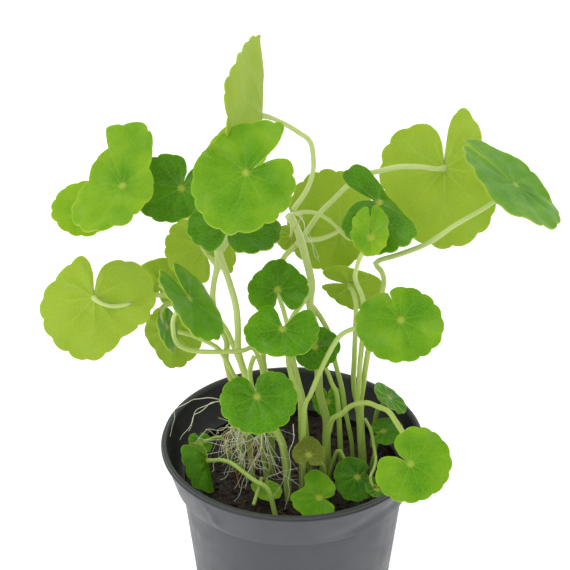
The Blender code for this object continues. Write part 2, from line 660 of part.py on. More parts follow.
def blade_point(leaf, angle, share, wave, dent=0.0):
    """A point of the blade's middle surface: share 0 is the hub and 1 the margin."""
    side = int(angle > 0)
    end = math.pi - math.radians(leaf.get("notch", NOTCH)[side])
    lobe = math.radians(leaf.get("lobe", LOBE_ANGLE))
    t = min(max((abs(angle) - end + lobe) / lobe, 0), 1)
    rounding = (1 - t ** LOBE_POWER) ** (1 / LOBE_POWER)
    reach = key_value(leaf["rim"], angle) * rounding * (1 - dent)
    lift = reach * share ** 2 * (RIM_CUP + RIM_WAVE * math.sin(3 * angle + wave))
    if "lift" in leaf:
        lift += key_value(leaf["lift"], angle) * share ** 2 * rounding
    if "lap" in leaf:
        closing = (math.degrees(abs(angle)) - LAP_START) / (180 - LAP_START)
        turn = math.radians(leaf["lap"][side]) * min(max(closing, 0), 1) * share ** 2
        angle += math.copysign(turn, angle)
    across = reach * share * math.sin(angle)
    along = reach * share * math.cos(angle)
    if "fold" in leaf:
        half = math.radians(leaf["fold"]) / 2
        bent = min(abs(across), FOLD_WIDTH)
        flat = max(abs(across) - FOLD_WIDTH, 0)
        curve = half / FOLD_WIDTH
        across = math.copysign(math.sin(curve * bent) / curve + flat * math.cos(half), across)
        lift += (1 - math.cos(curve * bent)) / curve + flat * math.sin(half)
    face, tip = leaf_axes(leaf)
    return Vector(leaf["route"][0]) + tip.cross(face) * across + tip * along + face * lift


def leaf_axes(leaf):
    face = Vector(leaf["face"]).normalized()
    tip = Vector(leaf["tip"])
    tip = (tip - face * tip.dot(face)).normalized()
    return face, tip


def blade(leaf, wave, surface):
    """The blade as a closed solid: a fan to an inner ring, then scallops, on both sides."""
    left, right = leaf.get("notch", NOTCH)
    scallops = SMALL_SCALLOPS if max(leaf["rim"]) < SMALL_LEAF else SCALLOPS
    first = math.radians(left + NOTCH_CLEARANCE) - math.pi
    last = math.pi - math.radians(right + NOTCH_CLEARANCE)
    angles = [first + (last - first) * k / (2 * scallops) for k in range(2 * scallops + 1)]
    inner = angles[::2]
    face, tip = leaf_axes(leaf)
    middle = [Vector(leaf["route"][0]) - tip * NOTCH_FOOT * max(leaf["rim"])]
    middle += [blade_point(leaf, a, INNER_RING, wave) for a in inner]
    for k, angle in enumerate(angles):
        dent = 0 if k % 2 else SCALLOP_DEPTH
        middle.append(blade_point(leaf, angle, 1, wave, dent))
    half = face * (BLADE_THICKNESS / 2)
    points = [p + half for p in middle] + [p - half for p in middle]
    first_rim = 1 + len(inner)
    top = []
    for j in range(len(inner) - 1):
        a, b = 1 + j, 2 + j
        c = first_rim + 2 * j
        top += [(0, a, b), (a, c, c + 1), (a, c + 1, b), (b, c + 1, c + 2)]
    edge = [0, 1] + list(range(first_rim, first_rim + len(angles))) + [len(inner)]
    count = len(middle)
    under = [tuple(i + count for i in reversed(f)) for f in top]
    wall = []
    for k in range(len(edge)):
        a, b = edge[k], edge[(k + 1) % len(edge)]
        wall.append((b, a, a + count, b + count))
    return add_object(leaf["name"], points, top + under + wall, surface, smooth=False)


def make_leaf(leaf, wave, parents, surface):
    made = blade(leaf, wave, surface)
    stalk = tube("stalk", stalk_rings(leaf, parents.get(leaf.get("onto"))), surface)
    return fuse(made, [stalk])


def make_stem(stem, parents, surface):
    return tube(stem["name"], stalk_rings(stem, parents.get(stem.get("onto"))), surface)


def make_roots(name, strands, surface):
    made = []
    for strand in strands:
        points = smooth_route(strand, ROOT_STEP)
        radii = np.linspace(ROOT_CROWN, ROOT_TIP, len(points))
        made.append(tube(name, tube_rings(points, radii, ROOT_SIDES), surface))
    return fuse(made[0], made[1:])


def turned(name, profile, sides, surface, bump=None):
    """A solid turned round Z from (radius, height) points whose first and last are on the axis."""
    points = [(0, 0, profile[0][1])]
    for radius, height in profile[1:-1]:
        for k in range(sides):
            angle = 2 * math.pi * k / sides
            x, y = radius * math.cos(angle), radius * math.sin(angle)
            points.append((x, y, height + (bump(x, y) if bump and height > POT_HEIGHT / 2 else 0)))
    points.append((0, 0, profile[-1][1]))
    rings = len(profile) - 2
    faces = []
    for k in range(sides):
        n = (k + 1) % sides
        faces.append((0, 1 + n, 1 + k))
        for i in range(rings - 1):
            a = 1 + i * sides
            faces.append((a + k, a + n, a + sides + n, a + sides + k))
        a = 1 + (rings - 1) * sides
        faces.append((a + k, a + n, len(points) - 1))
    return add_object(name, points, faces, surface)


def pot_inside():
    """The pot's inner profile from the mouth down to the floor's edge."""
    ledge = COLLAR_FOOT_HEIGHT + WALL
    return [
        (RIM_RADIUS - LIP_WIDTH, POT_HEIGHT),
        (COLLAR_TOP_RADIUS - WALL, POT_HEIGHT - LIP_HEIGHT),
        (COLLAR_FOOT_RADIUS - WALL, ledge + COLLAR_BEVEL),
        (BODY_TOP_RADIUS - WALL, ledge - COLLAR_BEVEL),
        (BASE_RADIUS - WALL, FLOOR),
    ]


def make_pot(surface):
    lip_foot = POT_HEIGHT - LIP_HEIGHT
    outside = [
        (0, 0),
        (BASE_RADIUS - BASE_BEVEL, 0),
        (BASE_RADIUS, BASE_BEVEL),
        (BODY_TOP_RADIUS, COLLAR_FOOT_HEIGHT),
        (COLLAR_FOOT_RADIUS - COLLAR_BEVEL, COLLAR_FOOT_HEIGHT),
        (COLLAR_FOOT_RADIUS, COLLAR_FOOT_HEIGHT + COLLAR_BEVEL),
        (COLLAR_TOP_RADIUS, lip_foot),
        (RIM_RADIUS, lip_foot + LIP_BEVEL),
        (RIM_RADIUS, POT_HEIGHT - LIP_BEVEL),
        (RIM_RADIUS - LIP_BEVEL, POT_HEIGHT),
    ]
    return turned("pot", outside + pot_inside() + [(0, FLOOR)], POT_SIDES, surface)


def soil_bump(x, y):
    return SOIL_LUMP * math.sin(0.35 * x + 1.3) * math.sin(0.3 * y + 0.4)


def make_soil(surface):
    inside = pot_inside()
    edge_height = SOIL_TOP - SOIL_EDGE
    wall = np.interp(edge_height, [inside[4][1], inside[3][1]], [inside[4][0], inside[3][0]])
    reach = wall - 2 * GAP
    profile = [
        (0, FLOOR + GAP),
        (BASE_RADIUS - WALL - 2 * GAP, FLOOR + GAP),
        (reach, edge_height),
    ]
    for k in range(SOIL_RINGS):
        profile.append(((reach - 2 * GAP) * (1 - k / SOIL_RINGS), SOIL_TOP))
    profile.append((0, SOIL_TOP))
    return turned("soil", profile, SOIL_SIDES, surface, soil_bump)


def build():
    clear_scene()
    blade_green = material("leaf_blade", (0.16, 0.32, 0.02), 0.45)
    stem_green = material("stem_green", (0.42, 0.55, 0.15), 0.5)
    root_pale = material("root_pale", (0.62, 0.66, 0.42), 0.7)
    old_leaf = material("old_leaf", (0.30, 0.30, 0.06), 0.7)
    grey_plastic = material("grey_plastic", (0.115, 0.122, 0.135), 0.4)
    dark_soil = material("dark_soil", (0.018, 0.012, 0.008), 0.95)
    make_pot(grey_plastic)
    make_soil(dark_soil)
    parents = {piece["name"]: piece for piece in STEMS + LEAVES}
    for stem in STEMS + (BROKEN_STALK,):
        make_stem(stem, parents, stem_green)
    for number, leaf in enumerate(LEAVES):
        surface = old_leaf if leaf["name"] == "leaf_old_brown" else blade_green
        make_leaf(leaf, 2.1 * number, parents, surface)
    for name, strands in ROOTS.items():
        make_roots(name, strands, root_pale)
    for item in bpy.data.objects:
        item.data.transform(Matrix.Scale(MM, 4))


build()
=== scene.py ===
# Potted pennywort: round scalloped leaves on long bare stalks, pale roots, dark soil and a grey pot.
# Lengths are worked out in millimetres and turned to metres when a mesh is finished.
import bmesh
import bpy
import math
import random
import numpy as np
from functools import partial
from mathutils import Matrix, Vector, noise


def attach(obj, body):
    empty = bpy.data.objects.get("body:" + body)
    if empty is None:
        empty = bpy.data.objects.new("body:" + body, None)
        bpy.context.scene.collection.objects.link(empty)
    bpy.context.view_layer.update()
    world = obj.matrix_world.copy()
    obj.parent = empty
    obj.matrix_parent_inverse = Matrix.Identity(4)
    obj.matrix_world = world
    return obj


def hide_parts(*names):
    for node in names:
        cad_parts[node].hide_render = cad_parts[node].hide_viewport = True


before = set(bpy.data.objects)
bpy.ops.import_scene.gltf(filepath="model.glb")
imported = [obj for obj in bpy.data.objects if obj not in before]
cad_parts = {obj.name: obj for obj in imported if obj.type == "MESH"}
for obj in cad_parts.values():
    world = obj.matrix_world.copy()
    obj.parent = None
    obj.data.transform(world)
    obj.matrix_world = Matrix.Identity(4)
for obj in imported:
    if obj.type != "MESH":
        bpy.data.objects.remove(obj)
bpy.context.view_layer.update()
print("frame loaded:", len(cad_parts), "nodes")

mm = 0.001

# The camera looks down at the pot from the front, at the photograph's angle.
view = dict(aim=(-2.7, 0, 133.8), distance=450, pitch=28.7, lens=88.42, sensor=36)
pitch = math.radians(view["pitch"])
away = Vector((0, -math.cos(pitch), math.sin(pitch))) * view["distance"]
camera = bpy.data.objects.new("camera", bpy.data.cameras.new("camera"))
camera.location = (Vector(view["aim"]) + away) * mm
camera.rotation_euler = (math.pi / 2 - pitch, 0, 0)
camera.data.lens = view["lens"]
camera.data.sensor_width = view["sensor"]
camera.data.clip_start = 0.01
bpy.context.scene.collection.objects.link(camera)
bpy.context.scene.camera = camera


def linear(hexColour):
    values = [int(hexColour[i:i + 2], 16) / 255 for i in (1, 3, 5)]
    values = [v / 12.92 if v <= 0.04045 else ((v + 0.055) / 1.055) ** 2.4 for v in values]
    return (*values, 1.0)


def newMaterial(name):
    material = bpy.data.materials.new(name)
    material.use_nodes = True
    return material, material.node_tree.nodes["Principled BSDF"], partial(addNode, material)


def addNode(material, kind, inputs=(), output=0, stops=(), **settings):
    # adds a node, sets or links its inputs, and gives back one of its outputs
    node = material.node_tree.nodes.new("ShaderNode" + kind)
    for key, value in settings.items():
        setattr(node, key, value)
    fillInputs(material, node, inputs if isinstance(inputs, dict) else dict(enumerate(inputs)))
    if stops:
        colours = node.color_ramp.elements
        while len(colours) < len(stops):
            colours.new(0.5)
        for element, (place, hexColour) in zip(colours, stops):
            element.position = place
            element.color = linear(hexColour)
    return node.outputs[output]


def fillInputs(material, node, inputs):
    # a value that comes out of another node is linked, and any other is set on the socket
    for socket, value in inputs.items():
        if isinstance(value, bpy.types.NodeSocket):
            material.node_tree.links.new(value, node.inputs[socket])
        else:
            node.inputs[socket].default_value = value


def finishPiece(name, shape, materials, nodes):
    # makes the object from a bmesh in millimetres, in place of the named nodes
    bmesh.ops.scale(shape, vec=(mm, mm, mm), verts=shape.verts)
    mesh = bpy.data.meshes.new(name)
    shape.to_mesh(mesh)
    shape.free()
    for material in materials:
        mesh.materials.append(material)
    mesh.shade_smooth()
    mesh.set_sharp_from_angle(angle=math.radians(50))
    piece = bpy.data.objects.new(name, mesh)
    bpy.context.scene.collection.objects.link(piece)
    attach(piece, "root")
    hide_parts(*nodes)


# Fresh leaf: a thin waxy skin over green tissue that lets light through, so it glows against the
# light, with pale veins that spread from the hub and fork once, and pale patches of painted sheen.
# Widths are in millimetres, and spread is the angle in radians that the veins fill.
veins = dict(count=9, spread=5.9, widthHub=0.2, widthMargin=0.1, forkAt=0.45, forkSpread=0.3)
freshLeaf = dict(
    upper=((0.0, "#a1bd24"), (0.3, "#86b018"), (0.6, "#559302"), (1.0, "#2c6800")),
    under=((0.0, "#9db634"), (0.35, "#8cab2a"), (0.65, "#759a28"), (1.0, "#568424")),
    veinUpper="#9dbb48", veinUnder="#b5c86c", hub="#b4c34a", paintedSheen="#98ba72", edge="#a2bc3c")
wiltedLeaf = dict(stops=((0.0, "#8f8f2c"), (0.5, "#66761a"), (1.0, "#4c4a14")), vein="#b8b060")
leafLook = dict(roughness=0.38, mottle=9, sheenPatchSize=7, net=1.3, netAmount=0.14, relief=3.2, hubReach=1.7,
                hubAmount=0.75, edgeFrom=0.965, edgeAmount=0.45, glow=0.7, glowDepth=0.9,
                glowTint=(1, 0.95, 0.3))


def leafMaterial(name, tones, veinHex, veinShare, paintedSheenShare, roughness, bumpDepth, gloss):
    material, shader, add = newMaterial(name)
    place = add("TexCoord", output="Object")
    marks = add("UVMap", uv_map="veins")
    between = add("SeparateXYZ", [marks])
    reach = add("SeparateXYZ", [marks], output=1)
    share = add("Attribute", output="Fac", attribute_name="share")
    tone = add("Attribute", output="Fac", attribute_name="tone")
    # distance in millimetres to the middle of the nearest vein, and to its two forks further out
    beside = add("Math", [add("Math", [between], operation="FRACT"), 0.5], operation="SUBTRACT")
    beside = add("Math", [beside], operation="ABSOLUTE")
    gap = add("Math", [beside, reach], operation="MULTIPLY")
    gap = add("Math", [gap, veins["spread"] / veins["count"]], operation="MULTIPLY")
    parted = add("Math", [share, veins["forkAt"]], operation="SUBTRACT")
    parted = add("Math", [parted, 0], operation="MAXIMUM")
    fork = add("Math", [add("Math", [parted, reach], operation="MULTIPLY"), veins["forkSpread"]],
               operation="MULTIPLY")
    toVein = add("Math", [add("Math", [gap, fork], operation="SUBTRACT")], operation="ABSOLUTE")
    width = add("MapRange", [share, 0, 1, veins["widthHub"], veins["widthMargin"]])
    vein = add("MapRange", [add("Math", [toVein, width], operation="DIVIDE"), 0.4, 1.6, 1, 0])
    # broad mottling, pale patches of painted sheen, and the fine net of small veins
    broad = add("TexNoise", {"Vector": place, "Scale": 1 / (leafLook["mottle"] * mm), "Detail": 2})
    patch = add("TexNoise", {"Vector": place, "Scale": 1 / (leafLook["sheenPatchSize"] * mm), "Detail": 1})
    net = add("TexVoronoi", {"Vector": place, "Scale": 1 / (leafLook["net"] * mm)}, output="Distance",
              feature="DISTANCE_TO_EDGE")
    netLine = add("MapRange", [net, 0.02, 0.14])
    # the green is deeper with the leaf's tone, which is partly its own green and partly painted shade, and
    # paler towards the margin
    shade = add("Math", [broad, 0.55, tone], operation="MULTIPLY_ADD")
    shade = add("Math", [share, -0.16, shade], operation="MULTIPLY_ADD")
    colour = add("ValToRGB", [add("Math", [shade, 0.2], operation="SUBTRACT")], stops=tones)
    pale = add("Mix", {0: leafLook["netAmount"], 6: colour, 7: linear(veinHex)}, output=2,
               data_type="RGBA")
    colour = add("Mix", {0: netLine, 6: pale, 7: colour}, output=2, data_type="RGBA")
    # pale patches of painted sheen, mixed into the colour where the noise is high
    paintedSheen = add("MapRange", [patch, 0.52, 0.78, 0, paintedSheenShare], interpolation_type="SMOOTHSTEP")
    fade = add("MapRange", [share, 0.1, 0.9, veinShare, veinShare * 0.12])
    vein = add("Math", [vein, fade], operation="MULTIPLY")
    # the margin is a thin pale line, and the hub a small yellowish spot
    edge = add("MapRange", [share, leafLook["edgeFrom"], 1, 0, leafLook["edgeAmount"]])
    hub = add("MapRange", [reach, 0.4, leafLook["hubReach"], leafLook["hubAmount"], 0],
              interpolation_type="SMOOTHSTEP")
    for amount, tint in ((paintedSheen, freshLeaf["paintedSheen"]), (vein, veinHex), (edge, freshLeaf["edge"]),
                         (hub, freshLeaf["hub"])):
        colour = add("Mix", {0: amount, 6: colour, 7: linear(tint)}, output=2, data_type="RGBA")
    grain = add("TexNoise", {"Vector": place, "Scale": 1 / (leafLook["relief"] * mm), "Detail": 3})
    height = add("Math", [netLine, 0.25, grain], operation="MULTIPLY_ADD")
    height = add("Math", [vein, -1.2, height], operation="MULTIPLY_ADD")
    fillInputs(material, shader, {
        "Base Color": colour,
        "Roughness": add("MapRange", [grain, 0.3, 0.7, roughness - 0.06, roughness + 0.08]),
        "Normal": add("Bump", {"Height": height, "Strength": bumpDepth, "Distance": 0.3 * mm}),
        "Specular IOR Level": gloss, "Subsurface Weight": leafLook["glow"],
        "Subsurface Radius": leafLook["glowTint"], "Subsurface Scale": leafLook["glowDepth"] * mm})
    return material


leafUpper = leafMaterial("leaf skin waxy upper side", freshLeaf["upper"], freshLeaf["veinUpper"],
                         veinShare=0.26, paintedSheenShare=0.12, roughness=leafLook["roughness"],
                         bumpDepth=0.6, gloss=0.14)
leafUnder = leafMaterial("leaf skin matt under side", freshLeaf["under"], freshLeaf["veinUnder"],
                         veinShare=0.3, paintedSheenShare=0.12, roughness=leafLook["roughness"] + 0.12,
                         bumpDepth=0.45, gloss=0.15)
oldLeaf = leafMaterial("leaf wilted dry", wiltedLeaf["stops"], wiltedLeaf["vein"], veinShare=0.3,
                       paintedSheenShare=0.1, roughness=0.6, bumpDepth=0.8, gloss=0.2)


# Stalk: smooth juicy tissue with fine lengthwise streaks, paler higher up and greener down in the pot,
# and mixed with its leaf's tone towards a shaded colour that is painted shade. lowest and highest are
# heights above the pot's foot between which it pales.
stalkLook = dict(stops=((0.0, "#8ba650"), (0.22, "#a6bf5e"), (0.5, "#b8cb6a"), (0.9, "#c8d78c")),
                 shaded="#98b64c", lowest=55, highest=150, streak=0.9, streakLength=14)


def stalkMaterial():
    material, shader, add = newMaterial("stalk tissue smooth")
    place = add("TexCoord", output="Object")
    height = add("SeparateXYZ", [place], output=2)
    level = add("MapRange", [height, stalkLook["lowest"] * mm, stalkLook["highest"] * mm])
    drawn = add("Mapping", {"Vector": place, "Scale": (1, 1, 1 / stalkLook["streakLength"])})
    streak = add("TexNoise", {"Vector": drawn, "Scale": 1 / (stalkLook["streak"] * mm), "Detail": 2})
    level = add("Math", [streak, 0.3, level], operation="MULTIPLY_ADD")
    level = add("Math", [level, 0.15], operation="SUBTRACT")
    colour = add("ValToRGB", [level], stops=stalkLook["stops"])
    # stalks of deep-toned leaves are mixed towards the shaded colour: painted shade
    tone = add("Attribute", output="Fac", attribute_name="tone")
    green = add("Math", [tone, 0.4], operation="MULTIPLY")
    colour = add("Mix", {0: green, 6: colour, 7: linear(stalkLook["shaded"])}, output=2, data_type="RGBA")
    fillInputs(material, shader, {
        "Base Color": colour,
        "Normal": add("Bump", {"Height": streak, "Strength": 0.35, "Distance": 0.2 * mm}),
        "Roughness": 0.36, "Specular IOR Level": 0.3, "Subsurface Weight": 0.6,
        "Subsurface Radius": (1, 1, 0.45), "Subsurface Scale": 1.0 * mm})
    return material


stalkGreen = stalkMaterial()


# Root: fine fleshy thread, whitish with a hint of green, some of it stained orange brown.
rootLook = dict(stops=((0.0, "#e2e6cc"), (0.5, "#cdd6a8"), (0.75, "#c0a05c"), (1.0, "#8a6028")), patch=4)


def rootMaterial():
    material, shader, add = newMaterial("root thread fleshy")
    place = add("TexCoord", output="Object")
    tone = add("Attribute", output="Fac", attribute_name="tone")
    patch = add("TexNoise", {"Vector": place, "Scale": 1 / (rootLook["patch"] * mm), "Detail": 2})
    stain = add("Math", [patch, 0.5, tone], operation="MULTIPLY_ADD")
    colour = add("ValToRGB", [add("Math", [stain, 0.25], operation="SUBTRACT")], stops=rootLook["stops"])
    fillInputs(material, shader, {
        "Base Color": colour, "Roughness": add("MapRange", [patch, 0.3, 0.7, 0.4, 0.6]),
        "Subsurface Weight": 0.3, "Subsurface Scale": 0.5 * mm})
    return material


rootPale = rootMaterial()


# Pot: injection-moulded polypropylene with a satin skin and soft flow marks. The lip and the inside are
# the same plastic, given darker and a little greener copies that are painted shade. Grain sizes are in
# millimetres, and smooth and rough are the ends of the roughness.
plastics = dict(
    grey=dict(low="#3b3e43", high="#45484e", broad=30, patch=6, smooth=0.34, rough=0.5, bump=0.25),
    dark=dict(low="#121412", high="#1d201e", broad=12, patch=3, smooth=0.3, rough=0.48, bump=0.2),
    lip=dict(low="#272b28", high="#343a36", broad=12, patch=2, smooth=0.3, rough=0.5, bump=0.3))
plasticGrain = 0.8


def plasticMaterial(kind):
    look = plastics[kind]
    material, shader, add = newMaterial("polypropylene " + kind + " moulded")
    place = add("TexCoord", output="Object")
    drawn = add("Mapping", {"Vector": place, "Scale": (1, 1, 0.4)})
    broad = add("TexNoise", {"Vector": drawn, "Scale": 1 / (look["broad"] * mm), "Detail": 2})
    colour = add("Mix", {0: broad, 6: linear(look["low"]), 7: linear(look["high"])}, output=2,
                 data_type="RGBA")
    patch = add("TexNoise", {"Vector": place, "Scale": 1 / (look["patch"] * mm), "Detail": 3})
    fine = add("TexNoise", {"Vector": place, "Scale": 1 / (plasticGrain * mm), "Detail": 2})
    height = add("Math", [broad, 2, fine], operation="MULTIPLY_ADD")
    fillInputs(material, shader, {
        "Base Color": colour, "IOR": 1.49,
        "Roughness": add("MapRange", [patch, 0.3, 0.7, look["smooth"], look["rough"]]),
        "Normal": add("Bump", {"Height": height, "Strength": look["bump"], "Distance": 0.15 * mm})})
    return material


potGrey, potShadedInside, potShadedLip = [plasticMaterial(kind) for kind in plastics]


# Soil: moist peat, nearly black, with brown fibres and dull and wet places.
soilLook = dict(stops=((0.15, "#0d0704"), (0.45, "#22140b"), (0.75, "#3c2717"), (1.0, "#6a4c30")),
                crumb=2.2, fine=0.9)


def soilMaterial():
    material, shader, add = newMaterial("peat moist fibrous")
    place = add("TexCoord", output="Object")
    tone = add("Attribute", output="Fac", attribute_name="tone")
    crumb = add("TexNoise", {"Vector": place, "Scale": 1 / (soilLook["crumb"] * mm), "Detail": 4})
    crumb = add("Math", [crumb, 0.8, tone], operation="MULTIPLY_ADD")
    fine = add("TexNoise", {"Vector": place, "Scale": 1 / (soilLook["fine"] * mm), "Detail": 5})
    fillInputs(material, shader, {
        "Base Color": add("ValToRGB", [crumb], stops=soilLook["stops"]),
        "Roughness": add("MapRange", [fine, 0.35, 0.65, 0.5, 0.95]),
        "Normal": add("Bump", {"Height": fine, "Strength": 0.8, "Distance": 0.6 * mm})})
    return material


peatDark = soilMaterial()
print("materials made:", len(bpy.data.materials))


# Tubes: step is the distance between their rings, soil the height under which a stalk counts as
# standing in the soil, and root how far it then goes on into it.
tube = dict(step=1.6, sides=10, soil=60, root=2, samples=14)


def smoothRoute(points, step):
    # points about one step apart on a smooth curve through the given ones
    given = np.array(points, float)
    ends = np.vstack([2 * given[0] - given[1], given, 2 * given[-1] - given[-2]])
    fine = []
    for i in range(len(given) - 1):
        a, b, c, d = ends[i:i + 4]
        for t in np.linspace(0, 1, tube["samples"], endpoint=False):
            fine.append(0.5 * (2 * b + (c - a) * t + (2 * a - 5 * b + 4 * c - d) * t ** 2
                               + (3 * b - a - 3 * c + d) * t ** 3))
    fine = np.array(fine + [given[-1]])
    along = distances(fine)
    places = np.linspace(0, along[-1], max(3, int(round(along[-1] / step)) + 1))
    return np.stack([np.interp(places, along, fine[:, k]) for k in range(3)], axis=1)


def distances(points):
    # how far along the line each of its points is
    return np.concatenate([[0], np.cumsum(np.linalg.norm(np.diff(points, axis=0), axis=1))])


def growTube(shape, points, radii, sides, slot, tone, start=None):
    # a closed round tube: a grid rolled up along the points, its seam merged and its ends filled
    points = np.array(points, float)
    ways = np.gradient(points, axis=0)
    if start is not None:
        ways[0] = start
    ways /= np.linalg.norm(ways, axis=1)[:, None]
    side = np.cross(ways[0], (0.3, 0.9, 0.1))  # any direction that no route starts in
    rings = []
    for point, way, radius in zip(points, ways, radii):
        side = side - way * np.dot(side, way)
        side /= np.linalg.norm(side)
        rings.append((point, side * radius, np.cross(way, side) * radius))
    count = len(points) - 1
    verts = bmesh.ops.create_grid(shape, x_segments=count, y_segments=sides, size=1)["verts"]
    for vert in verts:
        point, first, second = rings[round((vert.co.x + 1) / 2 * count)]
        angle = math.pi * vert.co.y
        vert.co = Vector(point + first * math.cos(angle) + second * math.sin(angle))
    faces = list({f for v in verts for f in v.link_faces})
    bmesh.ops.remove_doubles(shape, verts=verts, dist=min(radii) * 0.01)
    verts = [v for v in verts if v.is_valid]
    openEdges = list({e for v in verts for e in v.link_edges if e.is_boundary})
    faces += bmesh.ops.holes_fill(shape, edges=openEdges, sides=sides)["faces"]
    bmesh.ops.recalc_face_normals(shape, faces=faces)
    for face in faces:
        face.material_index = slot
    layer = shape.verts.layers.float["tone"]
    for vert in verts:
        vert[layer] = tone


def newShape():
    shape = bmesh.new()
    shape.loops.layers.uv.new("veins")
    shape.verts.layers.float.new("share")
    shape.verts.layers.float.new("tone")
    return shape


# Main stems, from the top node down to the soil, and the bare stalks between them, from the soil up to
# the stem that they join. thick is the radius at the route's start and at its end.
stems = (
    dict(name="stem_left", thick=(1, 1.35),
         route=((-24.5, -2, 150), (-22.5, -2, 143), (-20.5, -2, 136), (-18.5, -2, 127), (-18, -2, 118),
                (-18, -2, 110), (-15.5, -3, 100.5), (-10.5, -5, 88), (-4.5, -10, 81.5),
                (-2.5, -13, 73.5), (-1.5, -14.5, 59.5))),
    dict(name="stem_left_pale", thick=(0.9, 1.15),
         route=((-28, 8, 152.5), (-25.5, 8, 145), (-24.5, 8, 138), (-26, 7, 130.5), (-26.5, 6, 124),
                (-26, 5, 120), (-24, 4, 115.5), (-22, 4, 110), (-22.5, 4, 104), (-21.5, 4, 97.5),
                (-19.5, 4, 89), (-17.5, 4, 59.5))),
    dict(name="stem_centre", thick=(1.2, 1.5),
         route=((-1.5, 8, 155), (1.5, 8, 149), (4, 8, 139.5), (6, 8, 130), (5.5, 8, 122.5),
                (7, 8, 114), (8.5, 8, 100.5), (9, 7, 88.5), (11.5, 4, 79), (11.5, 1, 72.5),
                (12, -2, 59.5))),
    dict(name="stem_right", thick=(1.3, 1.5),
         route=((22.5, 4, 85.5), (23, 3, 79.5), (23.5, 1, 72.5), (24.5, -0.5, 59.5))),
    dict(name="stalk_left_inner", thick=(0.75, 0.9), onto="stem_left_pale",
         route=((-9, -6, 59.5), (-10.5, -4.5, 75.5), (-12, -3, 83.5), (-14.5, -1, 93.5), (-16.5, 0, 101),
                (-18.5, 1, 106.5), (-20.5, 2, 112), (-22.5, 3, 116), (-26, 5, 120))),
    dict(name="stalk_centre_inner", thick=(0.75, 0.9), onto="stem_centre",
         route=((5.5, 4, 59.5), (5, 4.5, 70), (4.5, 5, 76), (3, 5, 83), (1.5, 4, 92), (-0.5, 3, 101.5),
                (-2, 2, 110), (-2, 2, 116), (1, 4.5, 121.5), (5.5, 8, 126))),
    dict(name="stalk_right_inner", thick=(0.75, 0.9), onto="stem_centre",
         route=((21, 3, 59.5), (20.5, 4, 68), (19.5, 5, 74), (18, 6, 81.5), (17, 7, 88.5), (15.5, 8, 94.5),
                (14, 9, 100.5), (13, 9, 108), (9.5, 9, 116), (5.5, 8, 122.5))),
)
